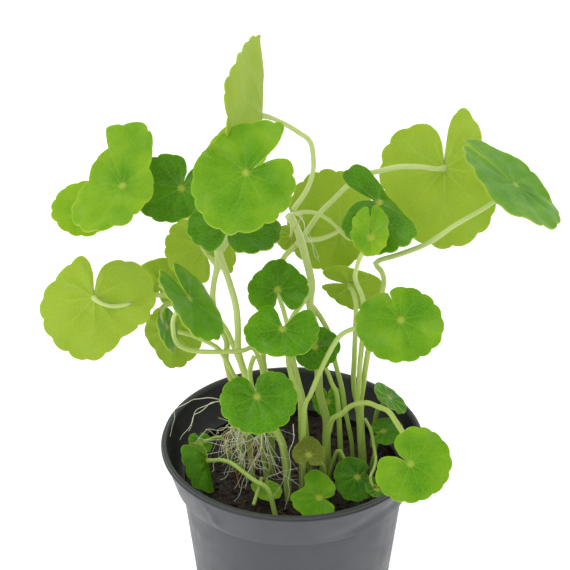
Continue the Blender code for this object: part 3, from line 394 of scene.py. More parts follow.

# The leaves. face is the way the upper side looks and tip the way from the hub, where the stalk joins,
# to the end opposite the notch. rim is the distance from hub to margin in nine or seventeen evenly
# spaced directions, from 160 degrees on one side of the tip to 160 on the other, and lift how far the
# margin rises there. notch is the half angle of the notch on either side, lobe the angle over which
# the lobes beside it are rounded, lap how far they close over it, and fold the bend along the middle.
# ripple is how wavy the blade is, creases are its folds, and tone how deep its green is, partly the leaf's
# own green and partly painted shade on leaves that lie in shade. route leads the stalk from the hub down,
# thick is its radius at both ends, and onto is the stem that it grows on.
usualLeaf = dict(notch=(6, 6), lobe=18, lap=(0, 0), lift=(0,) * 9, ripple=1, creases=(), thick=(0.7, 0.95))
leaves = (
    dict(name="leaf_top", tone=0.15, onto="stem_centre", face=(-1, 0, 0.05), tip=(0, 0.5, 0.9),
         rim=(8, 10, 12, 16, 20, 20, 20.5, 24.5, 25, 24.5, 24, 25.8, 29.6, 29, 29, 28, 26),
         notch=(60, 64), fold=48, lobe=8, thick=(0.7, 0.9),
         route=((-10, 12, 187.2), (-7.5, 12, 186.5), (-3, 12, 184.5), (1.5, 11, 182), (5, 10, 179.5),
                (6, 9, 175), (6, 9, 169.5), (4, 9, 163), (0, 9, 156.5))),
    dict(name="leaf_top_back", tone=0.4, onto="stem_left", face=(-0.35, -0.4, 0.85),
         tip=(0.1, 0.85, 0.55), rim=(11, 12, 12, 12, 13, 12, 12, 12, 10),
         route=((-17.5, 18.6, 172.6), (-18, 23, 165), (-19.5, 22, 153.5), (-22, 16, 145),
                (-24, 9, 143))),
    dict(name="leaf_front_big", tone=0.5, onto="stem_left", face=(0, -0.65, 0.75),
         tip=(-0.8, -0.3, -0.55), rim=(13.5, 15.5, 17.5, 20.5, 18, 15.5, 14, 16, 19), notch=(4, 5),
         creases=(dict(start=(13, 9), end=(5.5, 3), width=1.1, depth=1.5),
                  dict(start=(15, 6), end=(6, 1), width=1.2, depth=-1.3)),
         route=((-14, -22, 183), (-14, -12, 174), (-15.5, 0, 162), (-19, 4, 152), (-23, 2, 148.5))),
    dict(name="leaf_left_crumpled", tone=0.42, onto="stem_left_pale", face=(-0.2, -0.5, 0.85),
         tip=(0.3, -0.45, -0.85),
         rim=(21, 22, 12, 9.8, 9.8, 10.2, 11, 12, 15, 17.5, 19.5, 19, 17, 14.3, 12, 13, 15.5),
         notch=(12, 8), lift=(2.5, 1, 0, 0, 0, 1, 0, 0, -1), lap=(25, 12), ripple=1.8, lobe=6,
         route=((-52, -8, 172.5), (-51.5, -1, 166.5), (-48, 8, 160), (-43.5, 13, 155.5),
                (-38, 16, 153.5), (-32.5, 15, 152), (-29, 11, 151), (-28, 8.5, 148))),
    dict(name="leaf_left_behind", tone=0.3, onto="stem_left_pale", face=(0.1, -0.5, 0.85),
         tip=(-0.95, -0.15, -0.3), rim=(8, 8, 9, 11, 12.5, 12, 11, 10, 9),
         route=((-64, 4, 158.6), (-61.5, 10, 154.5), (-58, 13, 154.5), (-52, 15, 154),
                (-46.5, 17.5, 152), (-40.5, 19, 150.5), (-34, 18, 149), (-29, 12, 148.5),
                (-27.5, 8.5, 145.5))),
    dict(name="leaf_left_dark", tone=0.72, onto="stem_left_pale", face=(0.1, -0.8, 0.6),
         tip=(-0.35, -0.45, -0.8), rim=(9.3, 10, 10, 9.3, 12, 14.7, 14.5, 13.2, 10), notch=(1, 1),
         lift=(-1.5, 0, 0, 0, 0, 0, 0, 0, 0.6),
         route=((-35, 2, 167), (-35, 8, 160), (-32.5, 10, 154.5), (-28.5, 9.5, 151))),
    dict(name="leaf_under_front", tone=0.78, onto="stem_left", face=(0, -0.4, 0.9), tip=(0.1, 0.5, 0.85),
         rim=(12, 13, 12, 10, 7, 10, 16, 16, 11), notch=(4, 4),
         route=((-20, -11, 160.5), (-20.5, -6, 153.5), (-22.5, -3.5, 148.5))),
    dict(name="leaf_back_pale", tone=0.1, onto="stem_left_pale", face=(0.1, 1, -0.2),
         tip=(-0.4, 0.45, 0.8), rim=(13, 11, 11, 12, 12.5, 13, 13.5, 14, 12),
         route=((-30, 22, 136), (-28.5, 20, 134.5), (-26.5, 13, 136), (-25, 8, 137))),
    dict(name="leaf_back_grey", tone=0.2, onto="stem_left_pale", face=(-0.35, 0.95, 0.1),
         tip=(0, 0.5, 0.9), rim=(9, 10, 11, 11, 11, 11, 11, 10, 9),
         route=((-45.5, 28, 118.5), (-41.5, 24, 118.5), (-34, 18, 119), (-29.5, 12, 120.5),
                (-26.5, 7, 122.5))),
    dict(name="leaf_left_large", tone=0.12, onto="stem_left_pale", face=(0, 0.9, -0.4),
         tip=(-0.05, -0.5, -0.9), rim=(14, 13.5, 17.5, 19.5, 20.5, 16, 19.5, 19, 12.5), notch=(2, 4),
         route=((-63.5, -6, 132.5), (-61.5, -8, 132), (-58, -8, 130.5), (-53.5, -7, 130.5),
                (-49, -5, 131), (-45.5, -2, 131), (-41, 4, 127.5), (-34.5, 8, 122.5), (-29, 9, 118.5),
                (-25, 7, 115))),
    dict(name="leaf_left_blade", tone=0.65, face=(0.75, -0.1, 0.65), tip=(0.5, -0.4, -0.75),
         rim=(13, 13, 13, 14, 15.5, 15, 14, 13.5, 13),
         route=((-32, -20, 140), (-35, -14, 134), (-38, -10, 127.5), (-38.5, -8, 121.5),
                (-38, -6, 116.5), (-36, -5, 113.5), (-31.5, -5, 112), (-23.5, -7, 113), (-16.5, -8, 114),
                (-13, -6, 114), (-11, -4, 108), (-10, -3, 102.5), (-8.5, -1, 90.5), (-7.5, 0, 59.5))),
    dict(name="leaf_left_lime", tone=0.3, face=(0, 0.95, -0.3), tip=(0, -0.5, -0.9),
         rim=(9, 9.5, 9.5, 9.5, 13.5, 12, 10.5, 9.5, 9),
         route=((-41, 15, 108), (-38, 8, 111.5), (-33.5, 6, 111.5), (-30.5, 5, 110.5), (-27.5, 4, 109.5),
                (-24.5, 1, 109), (-22, 0, 105), (-19.5, 0, 99), (-17, 0, 94.5), (-14, 0, 59.5))),
    dict(name="leaf_left_hanging", tone=0.6, onto="leaf_left_large", face=(0.95, -0.15, 0.35),
         tip=(0.1, -0.5, -0.85), rim=(7, 8, 8, 9, 9, 8, 8, 8, 7),
         route=((-41.5, 0, 118.5), (-42.5, -2, 121), (-43, -2, 125), (-41, 2, 125.5),
                (-35.5, 8, 122.5))),
    dict(name="leaf_centre_high", tone=0.72, face=(0, -0.85, 0.55), tip=(0, 0.5, 0.9),
         rim=(8, 9.5, 9.5, 8.5, 10, 9, 10, 9, 8), notch=(6, 24),
         route=((-5, -10, 137.5), (-4.5, -5, 132), (-3, -4, 126), (-1.5, -3, 118), (-0.5, -3, 110.5),
                (2, -3, 98), (3.5, -3, 90), (6, -1, 59.5))),
    dict(name="leaf_centre_low", tone=0.66, face=(0, -0.65, 0.75), tip=(0, -0.5, -0.9),
         rim=(11, 11, 11.5, 10.5, 9, 10.5, 12.2, 10, 9), notch=(40, 14),
         route=((-3.5, -24, 131.5), (-3, -18, 124.5), (-2, -13, 116.5), (-1.5, -10, 109.5),
                (0, -9, 102.5), (2, -8, 97), (2.5, -8, 91), (3, -7, 59.5))),
    dict(name="leaf_centre_dark", tone=0.82, face=(0, -0.7, 0.75), tip=(0.3, -0.45, -0.85),
         rim=(7, 7.5, 8.5, 8, 8, 8, 7.5, 7, 7),
         route=((7, -4, 113), (8, 1, 106.5), (11, 2, 101), (13, 2, 95), (15, 1, 89), (17, 0, 59.5))),
    dict(name="leaf_back_lime", tone=0.15, onto="stem_centre", face=(0.35, 0.85, -0.35),
         tip=(-1, 0.1, 0.15), rim=(12, 15, 20, 21.5, 19.5, 18, 15, 12, 10),
         route=((15.5, 22, 142.5), (14, 18, 143.5), (9.5, 14, 143.5), (5, 11, 144.5), (2.5, 10, 145))),
    dict(name="leaf_back_small", tone=0.2, onto="stem_centre", face=(0.2, 0.9, -0.35),
         tip=(0, -0.5, -0.9), rim=(4, 5, 5.5, 5.5, 5.5, 5.5, 5.5, 5, 4), thick=(0.5, 0.6),
         route=((-0.5, 20, 141.5), (-0.5, 15, 145.5), (-0.5, 11, 150), (-1, 10, 153))),
    dict(name="leaf_right_large", tone=0.12, face=(0.3, 0.85, -0.45), tip=(0, -0.5, -0.9),
         rim=(15.5, 21, 22.3, 24, 26.3, 23.3, 15, 15, 20.5), notch=(3, 3), thick=(0.85, 1),
         route=((49, 22, 165), (46.5, 19, 166), (41, 16, 168), (34, 14, 169), (27.5, 13, 168),
                (22, 13, 166.5), (17, 14, 162), (13, 15, 157), (8.5, 16, 151.5), (4.5, 17, 144.5),
                (0.5, 16, 139.5), (-3, 14, 136.5), (-6, 12, 130.5), (-8.5, 10, 122.5), (-9.5, 9, 111.5),
                (-10, 9, 100), (-8, 8, 86.5), (-7, 7.5, 59.5))),
    dict(name="leaf_right_dark", tone=0.8, onto="stem_centre", face=(-0.35, -0.65, 0.7),
         tip=(0.9, -0.2, -0.35),
         rim=(16.5, 15, 8, 4.6, 4, 3.9, 4, 5, 8, 16.5, 17.7, 17.7, 16.5, 15, 14.3, 11, 7.5),
         lift=(0, -2, -9, -8, -6, 0, 0, 1, 1), notch=(6, 6), thick=(0.6, 0.7),
         route=((26.5, -2, 164), (26, 4, 158), (23, 5, 152), (19.5, 5, 148), (17, 6, 148),
                (13, 6, 152.5), (8.5, 6, 156), (4.5, 6, 157), (0.5, 6, 156.5))),
    dict(name="leaf_right_small", tone=0.45, onto="stem_right", face=(0, -0.75, 0.65),
         tip=(0, -0.5, -0.9), ripple=1.5,
         rim=(9.5, 8.2, 6.2, 5.6, 4.9, 5.4, 5, 6, 5.8, 6.2, 5.2, 5.9, 5.6, 6.4, 6.4, 8.2, 9.3),
         notch=(1, 1), lobe=4, thick=(0.7, 0.9),
         route=((23, -20, 161), (22.5, -18, 157), (20.5, -17, 153.5), (19.5, -12, 146.5),
                (19.5, -7, 139.5), (22, -5, 132), (23, -3, 122.5), (22.5, -1, 112), (22, -1, 102),
                (22, -1, 94.5), (21.5, 0, 89))),
    dict(name="leaf_right_far", tone=0.6, onto="stem_right", face=(0.53, -0.12, 0.84),
         tip=(0.8, -0.3, -0.55), rim=(20.5, 17, 16.3, 16.3, 17.3, 20.4, 20.4, 20.6, 20.5), notch=(2, 2),
         lobe=3, thick=(0.75, 1),
         route=((68.5, 0, 169.2), (66.8, 3, 165), (64.5, 3, 163.5), (59.5, 2, 160), (51, 0, 155.5),
                (42.5, -1, 149.5), (33.5, -2, 146), (27.5, -2, 144), (26, -2, 142.5), (28, -2, 140),
                (29, -2, 136.5), (28.5, -3, 133), (27, -4, 125), (25, -2, 112.5), (24, 1, 100),
                (23.5, 3, 91.5), (23, 4, 86))),
    dict(name="leaf_right_under", tone=0.3, onto="stem_right", face=(0.2, 0.9, 0.4), tip=(1, 0, 0),
         rim=(10.5, 11.5, 13, 12.5, 11.5, 10, 8, 9, 10.5), thick=(0.8, 0.9),
         route=((19, 12, 127.5), (19.5, 7, 128), (20.5, 4, 125), (20.5, 3, 119), (20.5, 3, 112),
                (20.5, 4, 103), (20.5, 6, 95), (21, 7, 88.5), (22, 6, 85))),
    dict(name="leaf_right_round", tone=0.55, face=(-0.1, -0.8, 0.55), tip=(0.42, -0.45, -0.82),
         rim=(10.3, 11, 12.5, 13.8, 13.2, 13.4, 14, 14.2, 11), notch=(1.5, 1.5), lobe=4, lap=(2.5, 2.5),
         lift=(0.7, 0, 0, 0, 0, 0, 0, 0, -0.4),
         route=((33, -22, 133.5), (30.5, -17, 129.5), (26, -15, 127.5), (21, -15, 127), (17, -15, 125.5),
                (14.5, -15, 123.5), (12, -15, 119), (9.5, -15, 113), (7.5, -15, 107.5),
                (5.5, -15, 101.5), (3.5, -15, 94), (3.5, -13.5, 59.5))),
    dict(name="leaf_low_front", tone=0.72, onto="leaf_left_blade", face=(0, -0.65, 0.75),
         tip=(0.2, -0.45, -0.85), rim=(7.7, 11, 12.8, 12.7, 12.4, 12.4, 12.2, 11, 8), notch=(6, 8),
         thick=(0.7, 0.8),
         route=((-11.5, -26, 108), (-12.5, -20, 106), (-13.5, -17, 107), (-14, -14, 109.5),
                (-13.5, -11, 111), (-12.5, -9.5, 113))),
    dict(name="leaf_low_right", tone=0.52, face=(0, -0.85, 0.55), tip=(0.85, -0.25, -0.45),
         rim=(8.4, 11.5, 12.6, 13.1, 12.4, 12.1, 12.5, 12.2, 9.5), notch=(6, 6), thick=(0.8, 1),
         route=((36.5, -38, 91), (37, -32, 91), (35.5, -28, 94), (33, -24, 96.5), (30.5, -20, 98.5),
                (27.5, -16, 97.5), (24, -12, 96.5), (19.5, -9, 93.5), (16, -7, 88.5), (12.5, -6, 84),
                (9.5, -4.5, 59.5))),
    dict(name="leaf_pot_right_back", tone=0.85, face=(0.65, 0, 0.75), tip=(0.7, -0.35, -0.6),
         rim=(7, 7, 7, 7.3, 7.6, 7.3, 7, 7, 7), notch=(0, 0), lobe=3,
         route=((33.8, 16, 80.2), (32, 16.5, 77.3), (29.8, 17.2, 73), (28.5, 17, 59.5))),
    dict(name="leaf_pot_right_mid", tone=0.85, face=(-0.2, -0.15, 0.95), tip=(0.95, 0.15, 0.3),
         rim=(4.3, 5.4, 6.3, 7, 7, 7, 7, 6, 4.5), thick=(0.6, 0.7),
         route=((31.5, 8, 71.5), (30, 7, 69.5), (29, 5, 67.5), (27, 2, 59.5))),
    dict(name="leaf_pot_left", tone=0.8, face=(0.97, -0.1, 0.2), tip=(0, -0.5, -0.9),
         rim=(7, 11.5, 9.5, 10.5, 11, 10.5, 9.5, 11.5, 7), notch=(40, 40), fold=-150, ripple=0.3,
         thick=(0.7, 0.9),
         route=((-29, -8, 70.5), (-27, -10, 72), (-23.5, -14, 75), (-20, -18, 76.5), (-16, -21, 75),
                (-12, -24, 73.5), (-8, -26, 71.5), (-5, -29, 59.5))),
    dict(name="leaf_pot_front", tone=0.6, face=(0, -0.35, 0.95), tip=(-1, 0.05, 0.1),
         rim=(5, 7, 7.5, 8, 8.5, 8.7, 8.8, 9.3, 9.3, 7.2, 6.6, 10.2, 11.2, 9.6, 8.2, 6.8, 5),
         notch=(10, 8), thick=(0.7, 0.8),
         route=((8.5, -26, 68.5), (8, -22, 68), (7.5, -17, 67), (5.5, -14, 59.5))),
    dict(name="leaf_pot_front_dark", tone=0.9, face=(0, -0.5, 0.85), tip=(-0.9, -0.2, -0.4),
         rim=(6, 7.5, 8.5, 9, 8, 8, 8, 6.5, 5.5), thick=(0.6, 0.7),
         route=((21.5, -14, 68), (20, -9, 68), (17.5, -8, 71), (15, -7, 74), (12, -5, 59.5))),
    dict(name="leaf_pot_front_low", tone=0.8, onto="stem_right", face=(0.2, -0.2, 0.95),
         tip=(0, -0.5, -0.9), rim=(3, 4, 4, 4, 4.5, 4, 4, 4, 3), thick=(0.5, 0.6),
         route=((27.5, -22, 69), (25.5, -20, 72), (27, -14, 71.5), (28, -8, 71), (27.5, -3, 73),
                (26.5, 0, 77.5), (24.5, 1, 81.5))),
    dict(name="leaf_old_brown", tone=0.5, face=(0.1, -0.5, 0.85), tip=(0.15, 0.5, 0.85),
         rim=(3.5, 5, 5.5, 5.5, 6.5, 5.5, 5.5, 5, 3.5), thick=(0.5, 0.6),
         route=((5, -21.5, 82.4), (6, -19.5, 80), (8.5, -17, 76.5), (10.5, -14.5, 72),
                (10.5, -13.5, 59.5))),
    dict(name="leaf_behind_stems", tone=0.7, face=(0, -0.85, 0.55), tip=(0, -0.5, -0.9),
         rim=(6, 6, 6, 6, 5.7, 5.5, 5.5, 5.5, 5.5), thick=(0.5, 0.6),
         route=((12.5, 22, 74.5), (13.5, 24, 70.5), (14.5, 27, 59.5))),
    dict(name="leaf_pot_small_left", tone=0.8, face=(0.35, -0.35, 0.85), tip=(0, -0.5, -0.9),
         rim=(4, 4.5, 4.5, 4.5, 4.5, 4.5, 4.5, 4.5, 4), thick=(0.5, 0.6),
         route=((-32, 4, 69.5), (-29.5, 5, 70), (-24.5, 6, 70), (-21.5, 9, 59.5))),
    dict(name="leaf_pot_soil_leaf", tone=0.5, face=(0.1, -0.05, 1), tip=(0, -0.5, -0.9),
         rim=(4, 4.5, 5.5, 7, 6.5, 5, 4.5, 5, 4), thick=(0.5, 0.6),
         route=((-9.5, -12, 62.5), (-9, -10, 62.5), (-9, -9, 59.5))),
)
leaves = [{**usualLeaf, **leaf} for leaf in leaves]

# The blades: how finely they are made, and what every margin and surface has. Lengths, heights and
# thickness are in millimetres, and depths, cups and waves are shares of the reach from hub to margin.
blade = dict(columns=132, rings=15, thickness=0.36, scallopLength=4.9, fewest=11, most=17,
             scallopDepth=0.068, scallopCurl=0.35, scallopStart=0.45, uneven=0.22, groove=0.16,
             grooveWidth=0.8, pleat=0.3, ripple=0.6, rippleLength=6, swell=1.3, swellLength=15,
             rimCup=0.05, rimWave=0.035, lobePower=2.2, foldWidth=5, weld=0.002)


def keyValue(values, angle):
    # a smooth curve through evenly spaced values from 160 degrees on one side to 160 on the other
    row = np.array(values, float)
    row = np.concatenate([[2 * row[0] - row[1]], row, [2 * row[-1] - row[-2]]])
    last = len(values) - 1
    place = min(max((math.degrees(angle) + 160) / 320 * last, -0.5), last + 0.5)
    i = min(max(int(math.floor(place)), 0), last - 1)
    t = place - i
    a, b, c, d = row[i:i + 4]
    return 0.5 * (2 * b + (c - a) * t + (2 * a - 5 * b + 4 * c - d) * t * t
                  + (3 * b - a - 3 * c + d) * t ** 3)


def notchEnds(leaf):
    left, right = leaf["notch"]
    return math.pi - math.radians(left), math.pi - math.radians(right)


def lobeRounding(leaf, angle):
    left, right = notchEnds(leaf)
    lobe = math.radians(leaf["lobe"])
    t = min(max((abs(angle) - (left if angle < 0 else right) + lobe) / lobe, 0), 1)
    return (1 - t ** blade["lobePower"]) ** (1 / blade["lobePower"])


def marginColumns(leaf, number):
    # the directions from the hub in which the blade is built, evenly spaced along its margin
    left, right = notchEnds(leaf)
    angles = np.linspace(-left, right, 900)
    rounding = np.array([lobeRounding(leaf, a) for a in angles])
    full = np.array([keyValue(leaf["rim"], a) for a in angles])
    reach = full * rounding
    along = distances(np.stack([reach * np.sin(angles), reach * np.cos(angles)], axis=1))
    wide = np.flatnonzero(rounding > blade["scallopStart"])
    first, last = along[wide[0]], along[wide[-1]]
    count = min(max(round((last - first) / blade["scallopLength"]), blade["fewest"]), blade["most"])
    columns = []
    for place in np.linspace(0, along[-1], blade["columns"] + 3)[1:-1]:
        angle, rounded, reached, whole = [
            float(np.interp(place, along, values)) for values in (angles, rounding, reach, full)]
        phase = (place - first) / (last - first) * count
        phase += blade["uneven"] * noise.noise(Vector((phase * 0.9, number * 3.7, 0)))
        columns.append(dict(
            angle=angle, reach=reached, full=whole, between=(angle / math.tau + 0.5) * veins["count"],
            depth=min(max((rounded - 0.55) / 0.3, 0), 1), bow=abs(math.sin(math.pi * phase)),
            size=1 + 0.5 * noise.noise(Vector((phase * 0.7, 5.1, number * 2.3))),
            lift=keyValue(leaf["lift"], angle)))
    return columns


def bladePoint(leaf, number, column, share):
    # a point of the upper side, with its place between the veins and its distance from the hub
    angle, reach, full, between = [column[key] for key in ("angle", "reach", "full", "between")]
    scallop = (1 - column["bow"] ** 0.5) * blade["scallopDepth"] * column["depth"] * column["size"]
    outer = reach * share * (1 - scallop * share ** 5)
    # the lobes beside the notch may close or lap over each other towards the margin
    lap = math.radians(leaf["lap"][angle > 0]) * min(max(abs(angle) * 3 / math.pi - 2, 0), 1)
    angle += math.copysign(lap, angle) * share ** 2
    across, along = outer * math.sin(angle), outer * math.cos(angle)
    far = outer / full
    lift = column["lift"] * far ** 2
    lift += full * far ** 2 * (blade["rimCup"] + blade["rimWave"] * math.sin(3 * angle + 2.1 * number))
    lift -= blade["scallopCurl"] * share ** 6 * column["bow"] * column["depth"]
    for size, length, seed in ((blade["ripple"], blade["rippleLength"], 5.3),
                               (blade["swell"], blade["swellLength"], 8.1)):
        spot = Vector((across / length, along / length, number * seed))
        lift += leaf["ripple"] * far * size * noise.noise(spot)
    lift += blade["pleat"] * far * math.sin(math.pi * far) * math.cos(math.tau * between)
    gap = abs(between % 1 - 0.5) * outer * math.tau / veins["count"]
    groove = blade["groove"] * math.exp(-(gap / blade["grooveWidth"]) ** 2)
    lift -= groove * (1 - 0.6 * far) * min(outer / 2, 1)
    for crease in leaf["creases"]:
        lift += creaseLift(crease, across, along)
    if "fold" in leaf:
        half = math.radians(leaf["fold"]) / 2
        bent = min(abs(across), blade["foldWidth"])
        flat = max(abs(across) - blade["foldWidth"], 0)
        curve = half / blade["foldWidth"]
        across = math.copysign(math.sin(curve * bent) / curve + flat * math.cos(half), across)
        lift += (1 - math.cos(curve * bent)) / curve + flat * math.sin(half)
    face, tip = leafAxes(leaf)
    place = Vector(leaf["route"][0]) + tip.cross(face) * across + tip * along
    return place + face * (lift + blade["thickness"] / 2), between, outer


def creaseLift(crease, across, along):
    # a soft fold along a line from one point of the blade to another, as deep as depth
    start, end = Vector(crease["start"]), Vector(crease["end"])
    line = end - start
    point = Vector((across, along)) - start
    t = min(max(point.dot(line) / line.length_squared, 0), 1)
    off = (point - line * t).length
    fading = math.sin(math.pi * min(t * 0.8 + 0.2, 1)) ** 0.5
    return crease["depth"] * math.exp(-(off / crease["width"]) ** 2) * fading


def leafAxes(leaf):
    face = Vector(leaf["face"]).normalized()
    tip = Vector(leaf["tip"])
    return face, (tip - face * tip.dot(face)).normalized()


def growBlade(shape, leaf, number):
    # a grid bent round the hub: its columns run out to the margin and its rings round it
    columns = marginColumns(leaf, number)
    share, tone = shape.verts.layers.float["share"], shape.verts.layers.float["tone"]
    uv = shape.loops.layers.uv["veins"]
    verts = bmesh.ops.create_grid(shape, x_segments=blade["columns"], y_segments=blade["rings"],
                                  size=1)["verts"]
    marks = {}
    for vert in verts:
        column = columns[round((vert.co.x + 1) / 2 * blade["columns"])]
        level = 1 - (1 - (vert.co.y + 1) / 2) ** 1.15  # the rings lie closer near the margin
        vert.co, between, outer = bladePoint(leaf, number, column, level)
        marks[vert] = (between, outer)
        vert[share] = level
        vert[tone] = leaf["tone"]
    for face in shape.faces:
        for loop in face.loops:
            loop[uv].uv = marks[loop.vert]
    bmesh.ops.remove_doubles(shape, verts=verts, dist=blade["weld"])
    bmesh.ops.recalc_face_normals(shape, faces=shape.faces)
    # the upper side is pulled off this sheet, which then sinks by the thickness to be the under side
    way = leafAxes(leaf)[0]
    depth = math.copysign(blade["thickness"], sum(v.normal.dot(way) for v in shape.verts))
    sunk = [(v, v.co - v.normal * depth) for v in shape.verts]
    upper = set(bmesh.ops.extrude_face_region(shape, geom=shape.faces[:])["geom"])
    for vert, place in sunk:
        vert.co = place
    for face in shape.faces:
        face.material_index = 0 if face in upper else 1
    bmesh.ops.recalc_face_normals(shape, faces=shape.faces)


def stalkRoute(piece):
    # a stalk ends inside the stem that it grows from, or a little way into the soil
    points = smoothRoute(piece["route"], tube["step"])
    radii = np.linspace(*piece["thick"], len(points))
    for end in (0, -1):
        if points[end][2] < tube["soil"]:
            points[end][2] -= tube["root"]
    if "onto" in piece:
        stem = smoothRoute(parents[piece["onto"]]["route"], tube["step"] / 2)
        inside = parents[piece["onto"]]["thick"][0] * 0.5
        for i, point in enumerate(points):
            if i > 3 and np.linalg.norm(stem - point, axis=1).min() < inside:
                return points[:i + 1], radii[:i + 1]
    return points, radii


# At the hub a stalk flares, and it leaves the blade's under side square and then turns into its way.
hubFlare = dict(length=2.6, widen=0.5, waver=0.05, waverLength=7, turn=1.2, turnLength=2.5, sink=0.1)


def makeLeaf(leaf, number):
    shape = newShape()
    growBlade(shape, leaf, number)
    points, radii = stalkRoute(leaf)
    run = distances(points)
    radii = radii * (1 + hubFlare["widen"] * np.exp(-(run / hubFlare["length"]) ** 2 * 3))
    radii = radii * (1 + hubFlare["waver"] * np.sin(run / hubFlare["waverLength"] + number))
    down = -np.array(leafAxes(leaf)[0])
    turn = hubFlare["turn"] * (run / 2) * np.exp(-(run / hubFlare["turnLength"]) ** 2)
    points = points + down * (hubFlare["sink"] + turn[:, None])
    growTube(shape, points, radii, tube["sides"], 2, leaf["tone"], down)
    old = leaf["name"] == "leaf_old_brown"
    skins = (oldLeaf, oldLeaf) if old else (leafUpper, leafUnder)
    finishPiece(leaf["name"] + ".grown", shape, (*skins, stalkGreen),
                [leaf["name"]])


parents = {piece["name"]: piece for piece in (*stems, *leaves)}
for number, leaf in enumerate(leaves):
    makeLeaf(leaf, number)
print("leaves made:", len(leaves))


# Stems: thicker where a stalk leaves them, as the nodes of the real plant are.
stemNode = dict(swell=0.35, length=2.2, tone=0.2)
brokenStalk = dict(name="broken_stalk", thick=(0.7, 0.6),
                   route=((-10.5, -18, 70.5), (-11.5, -24, 70), (-13, -29, 68)))


def makeStem(stem):
    shape = newShape()
    points, radii = stalkRoute(stem)
    for leaf in leaves:
        if leaf.get("onto") == stem["name"]:
            near = np.linalg.norm(points - np.array(leaf["route"][-1], float), axis=1)
            radii = radii * (1 + stemNode["swell"] * np.exp(-(near / stemNode["length"]) ** 2))
    growTube(shape, points, radii, tube["sides"] + 2, 0, stemNode["tone"])
    finishPiece(stem["name"] + ".grown", shape, [stalkGreen], [stem["name"]])


for stem in (*stems, brokenStalk):
    makeStem(stem)
print("stems made:", len(stems) + 1)


# Roots: each clump is a crown from which fine threads spread, fall and wander into the soil, and a
# tangle of shorter threads that leave them in all directions.
rootClumps = dict(
    roots_left=dict(crown=(-23, 0, 89.5), tangled=0, strands=(
        ((-28, -2, 92), (-31, -3, 91.5), (-36.5, -4, 91), (-39.5, -4, 88.5), (-40.5, -4, 84),
         (-41, -4, 78.5)),
        ((-28, -4, 91), (-32.5, -6, 88.5), (-35, -7, 83.5), (-37.5, -8, 78.5)),
        ((-27, -2, 90), (-31, -4, 89), (-33, -6, 86.5), (-35, -8, 83)))),
    roots_front=dict(crown=(-10.5, -7, 84), tangled=100, strands=(
        ((-18.5, -4, 83), (-24, -6, 82), (-27.5, -7, 83), (-30, -7, 81.5), (-33, -8, 77.5)),
        ((-17, -8, 81), (-21.5, -9, 79.5), (-26.5, -10, 80.5), (-31.5, -10, 80.5)),
        ((-12.5, -9, 81), (-18, -11, 79.5), (-24, -12, 77.5), (-28.5, -13, 76)),
        ((-20.5, -6, 83.5), (-19, -10, 78.5), (-17, -14, 71), (-15.5, -18, 65.5)),
        ((-7.5, -13.5, 76.3), (-3.5, -16.6, 72.4), (1.5, -18.6, 68.9)),
        ((-10.5, -12, 79.5), (-13, -15, 76), (-15.5, -19, 71.5), (-20, -24, 66)),
        ((-17.5, -8, 85), (-24, -5, 78), (-26, -3, 68)))),
    roots_hanging=dict(crown=(0, -14, 89.5), tangled=0, strands=(
        ((-0.5, -18, 80), (-1.5, -22, 73), (-2.5, -27, 65)),)),
    roots_centre=dict(crown=(-0.5, 4, 158), tangled=4, strands=(
        ((2, 3, 156.5), (4, 3, 152.5), (5.5, 3, 148), (8, 3, 140.5)),
        ((1.5, 3, 154), (3.5, 3, 148.5), (4.5, 3, 142.5)))),
)
rootThread = dict(radius=0.15, tip=0.056, sides=5, step=1.3, wander=0.8, tone=0.1)
tangle = dict(low=61, spread=(7, 5, 6), fall=9, bow=4, thin=(0.45, 0.8), tones=(0, 0.1, 0.3, 0.5, 0.85))


def wander(points, seed):
    # a thread's small bends, growing from where it starts
    moved = []
    for i, point in enumerate(points):
        spot = Vector((i * 0.2, seed * 9.1, 0))
        bend = np.array([noise.noise(spot + Vector((0, 0, 11 * k))) * 2 for k in range(3)])
        moved.append(point + min(i / 6, 1) * rootThread["wander"] * bend)
    return moved


def makeRoots(name, clump, luck):
    shape = newShape()
    mains = [np.array([clump["crown"], *strand], float) for strand in clump["strands"]]
    lowest, highest = np.vstack(mains).min(axis=0), np.vstack(mains).max(axis=0)
    strays = []
    for _ in range(clump["tangled"]):
        start = luck.choice(mains)[luck.choice((0, 1, 1, 2))]
        sideways, forwards, up = tangle["spread"]
        end = start + np.array([luck.gauss(0, sideways), luck.gauss(-1, forwards),
                                luck.gauss(-tangle["fall"], up)])
        end = np.clip(end, lowest, highest)
        end[2] = max(end[2], tangle["low"])
        bow = np.array([luck.uniform(-1, 1) for _ in range(3)]) * tangle["bow"]
        strays.append(np.array([start, (start + end) / 2 + bow, end]))
    for seed, route in enumerate(mains + strays):
        points = wander(smoothRoute(route, rootThread["step"]), seed)
        main = seed < len(mains)
        radius = rootThread["radius"] * (1 if main else luck.uniform(*tangle["thin"]))
        radii = np.linspace(radius, rootThread["tip"], len(points))
        growTube(shape, points, radii, rootThread["sides"], 0,
                 rootThread["tone"] if main else luck.choice(tangle["tones"]))
    finishPiece(name + ".threads", shape, [rootPale], [name])


luck = random.Random(4)
for name, clump in rootClumps.items():
    makeRoots(name, clump, luck)
print("roots made:", len(rootClumps))


# Pot: a 9 cm nursery pot, turned from its wall's profile.
pot = dict(rimRadius=45, height=75, baseRadius=32.5, bodyTop=38.6, collarFoot=41.1, collarHeight=60.7,
           collarTop=44.2, lipHeight=1.2, lipWidth=1.4, bead=0.7, wall=1.2, floor=1.5, steps=192)


def slope(start, end, count):
    # evenly spaced points of the wall between two others, which are left out
    return [tuple(a + (b - a) * (k / count) for a, b in zip(start, end)) for k in range(1, count)]


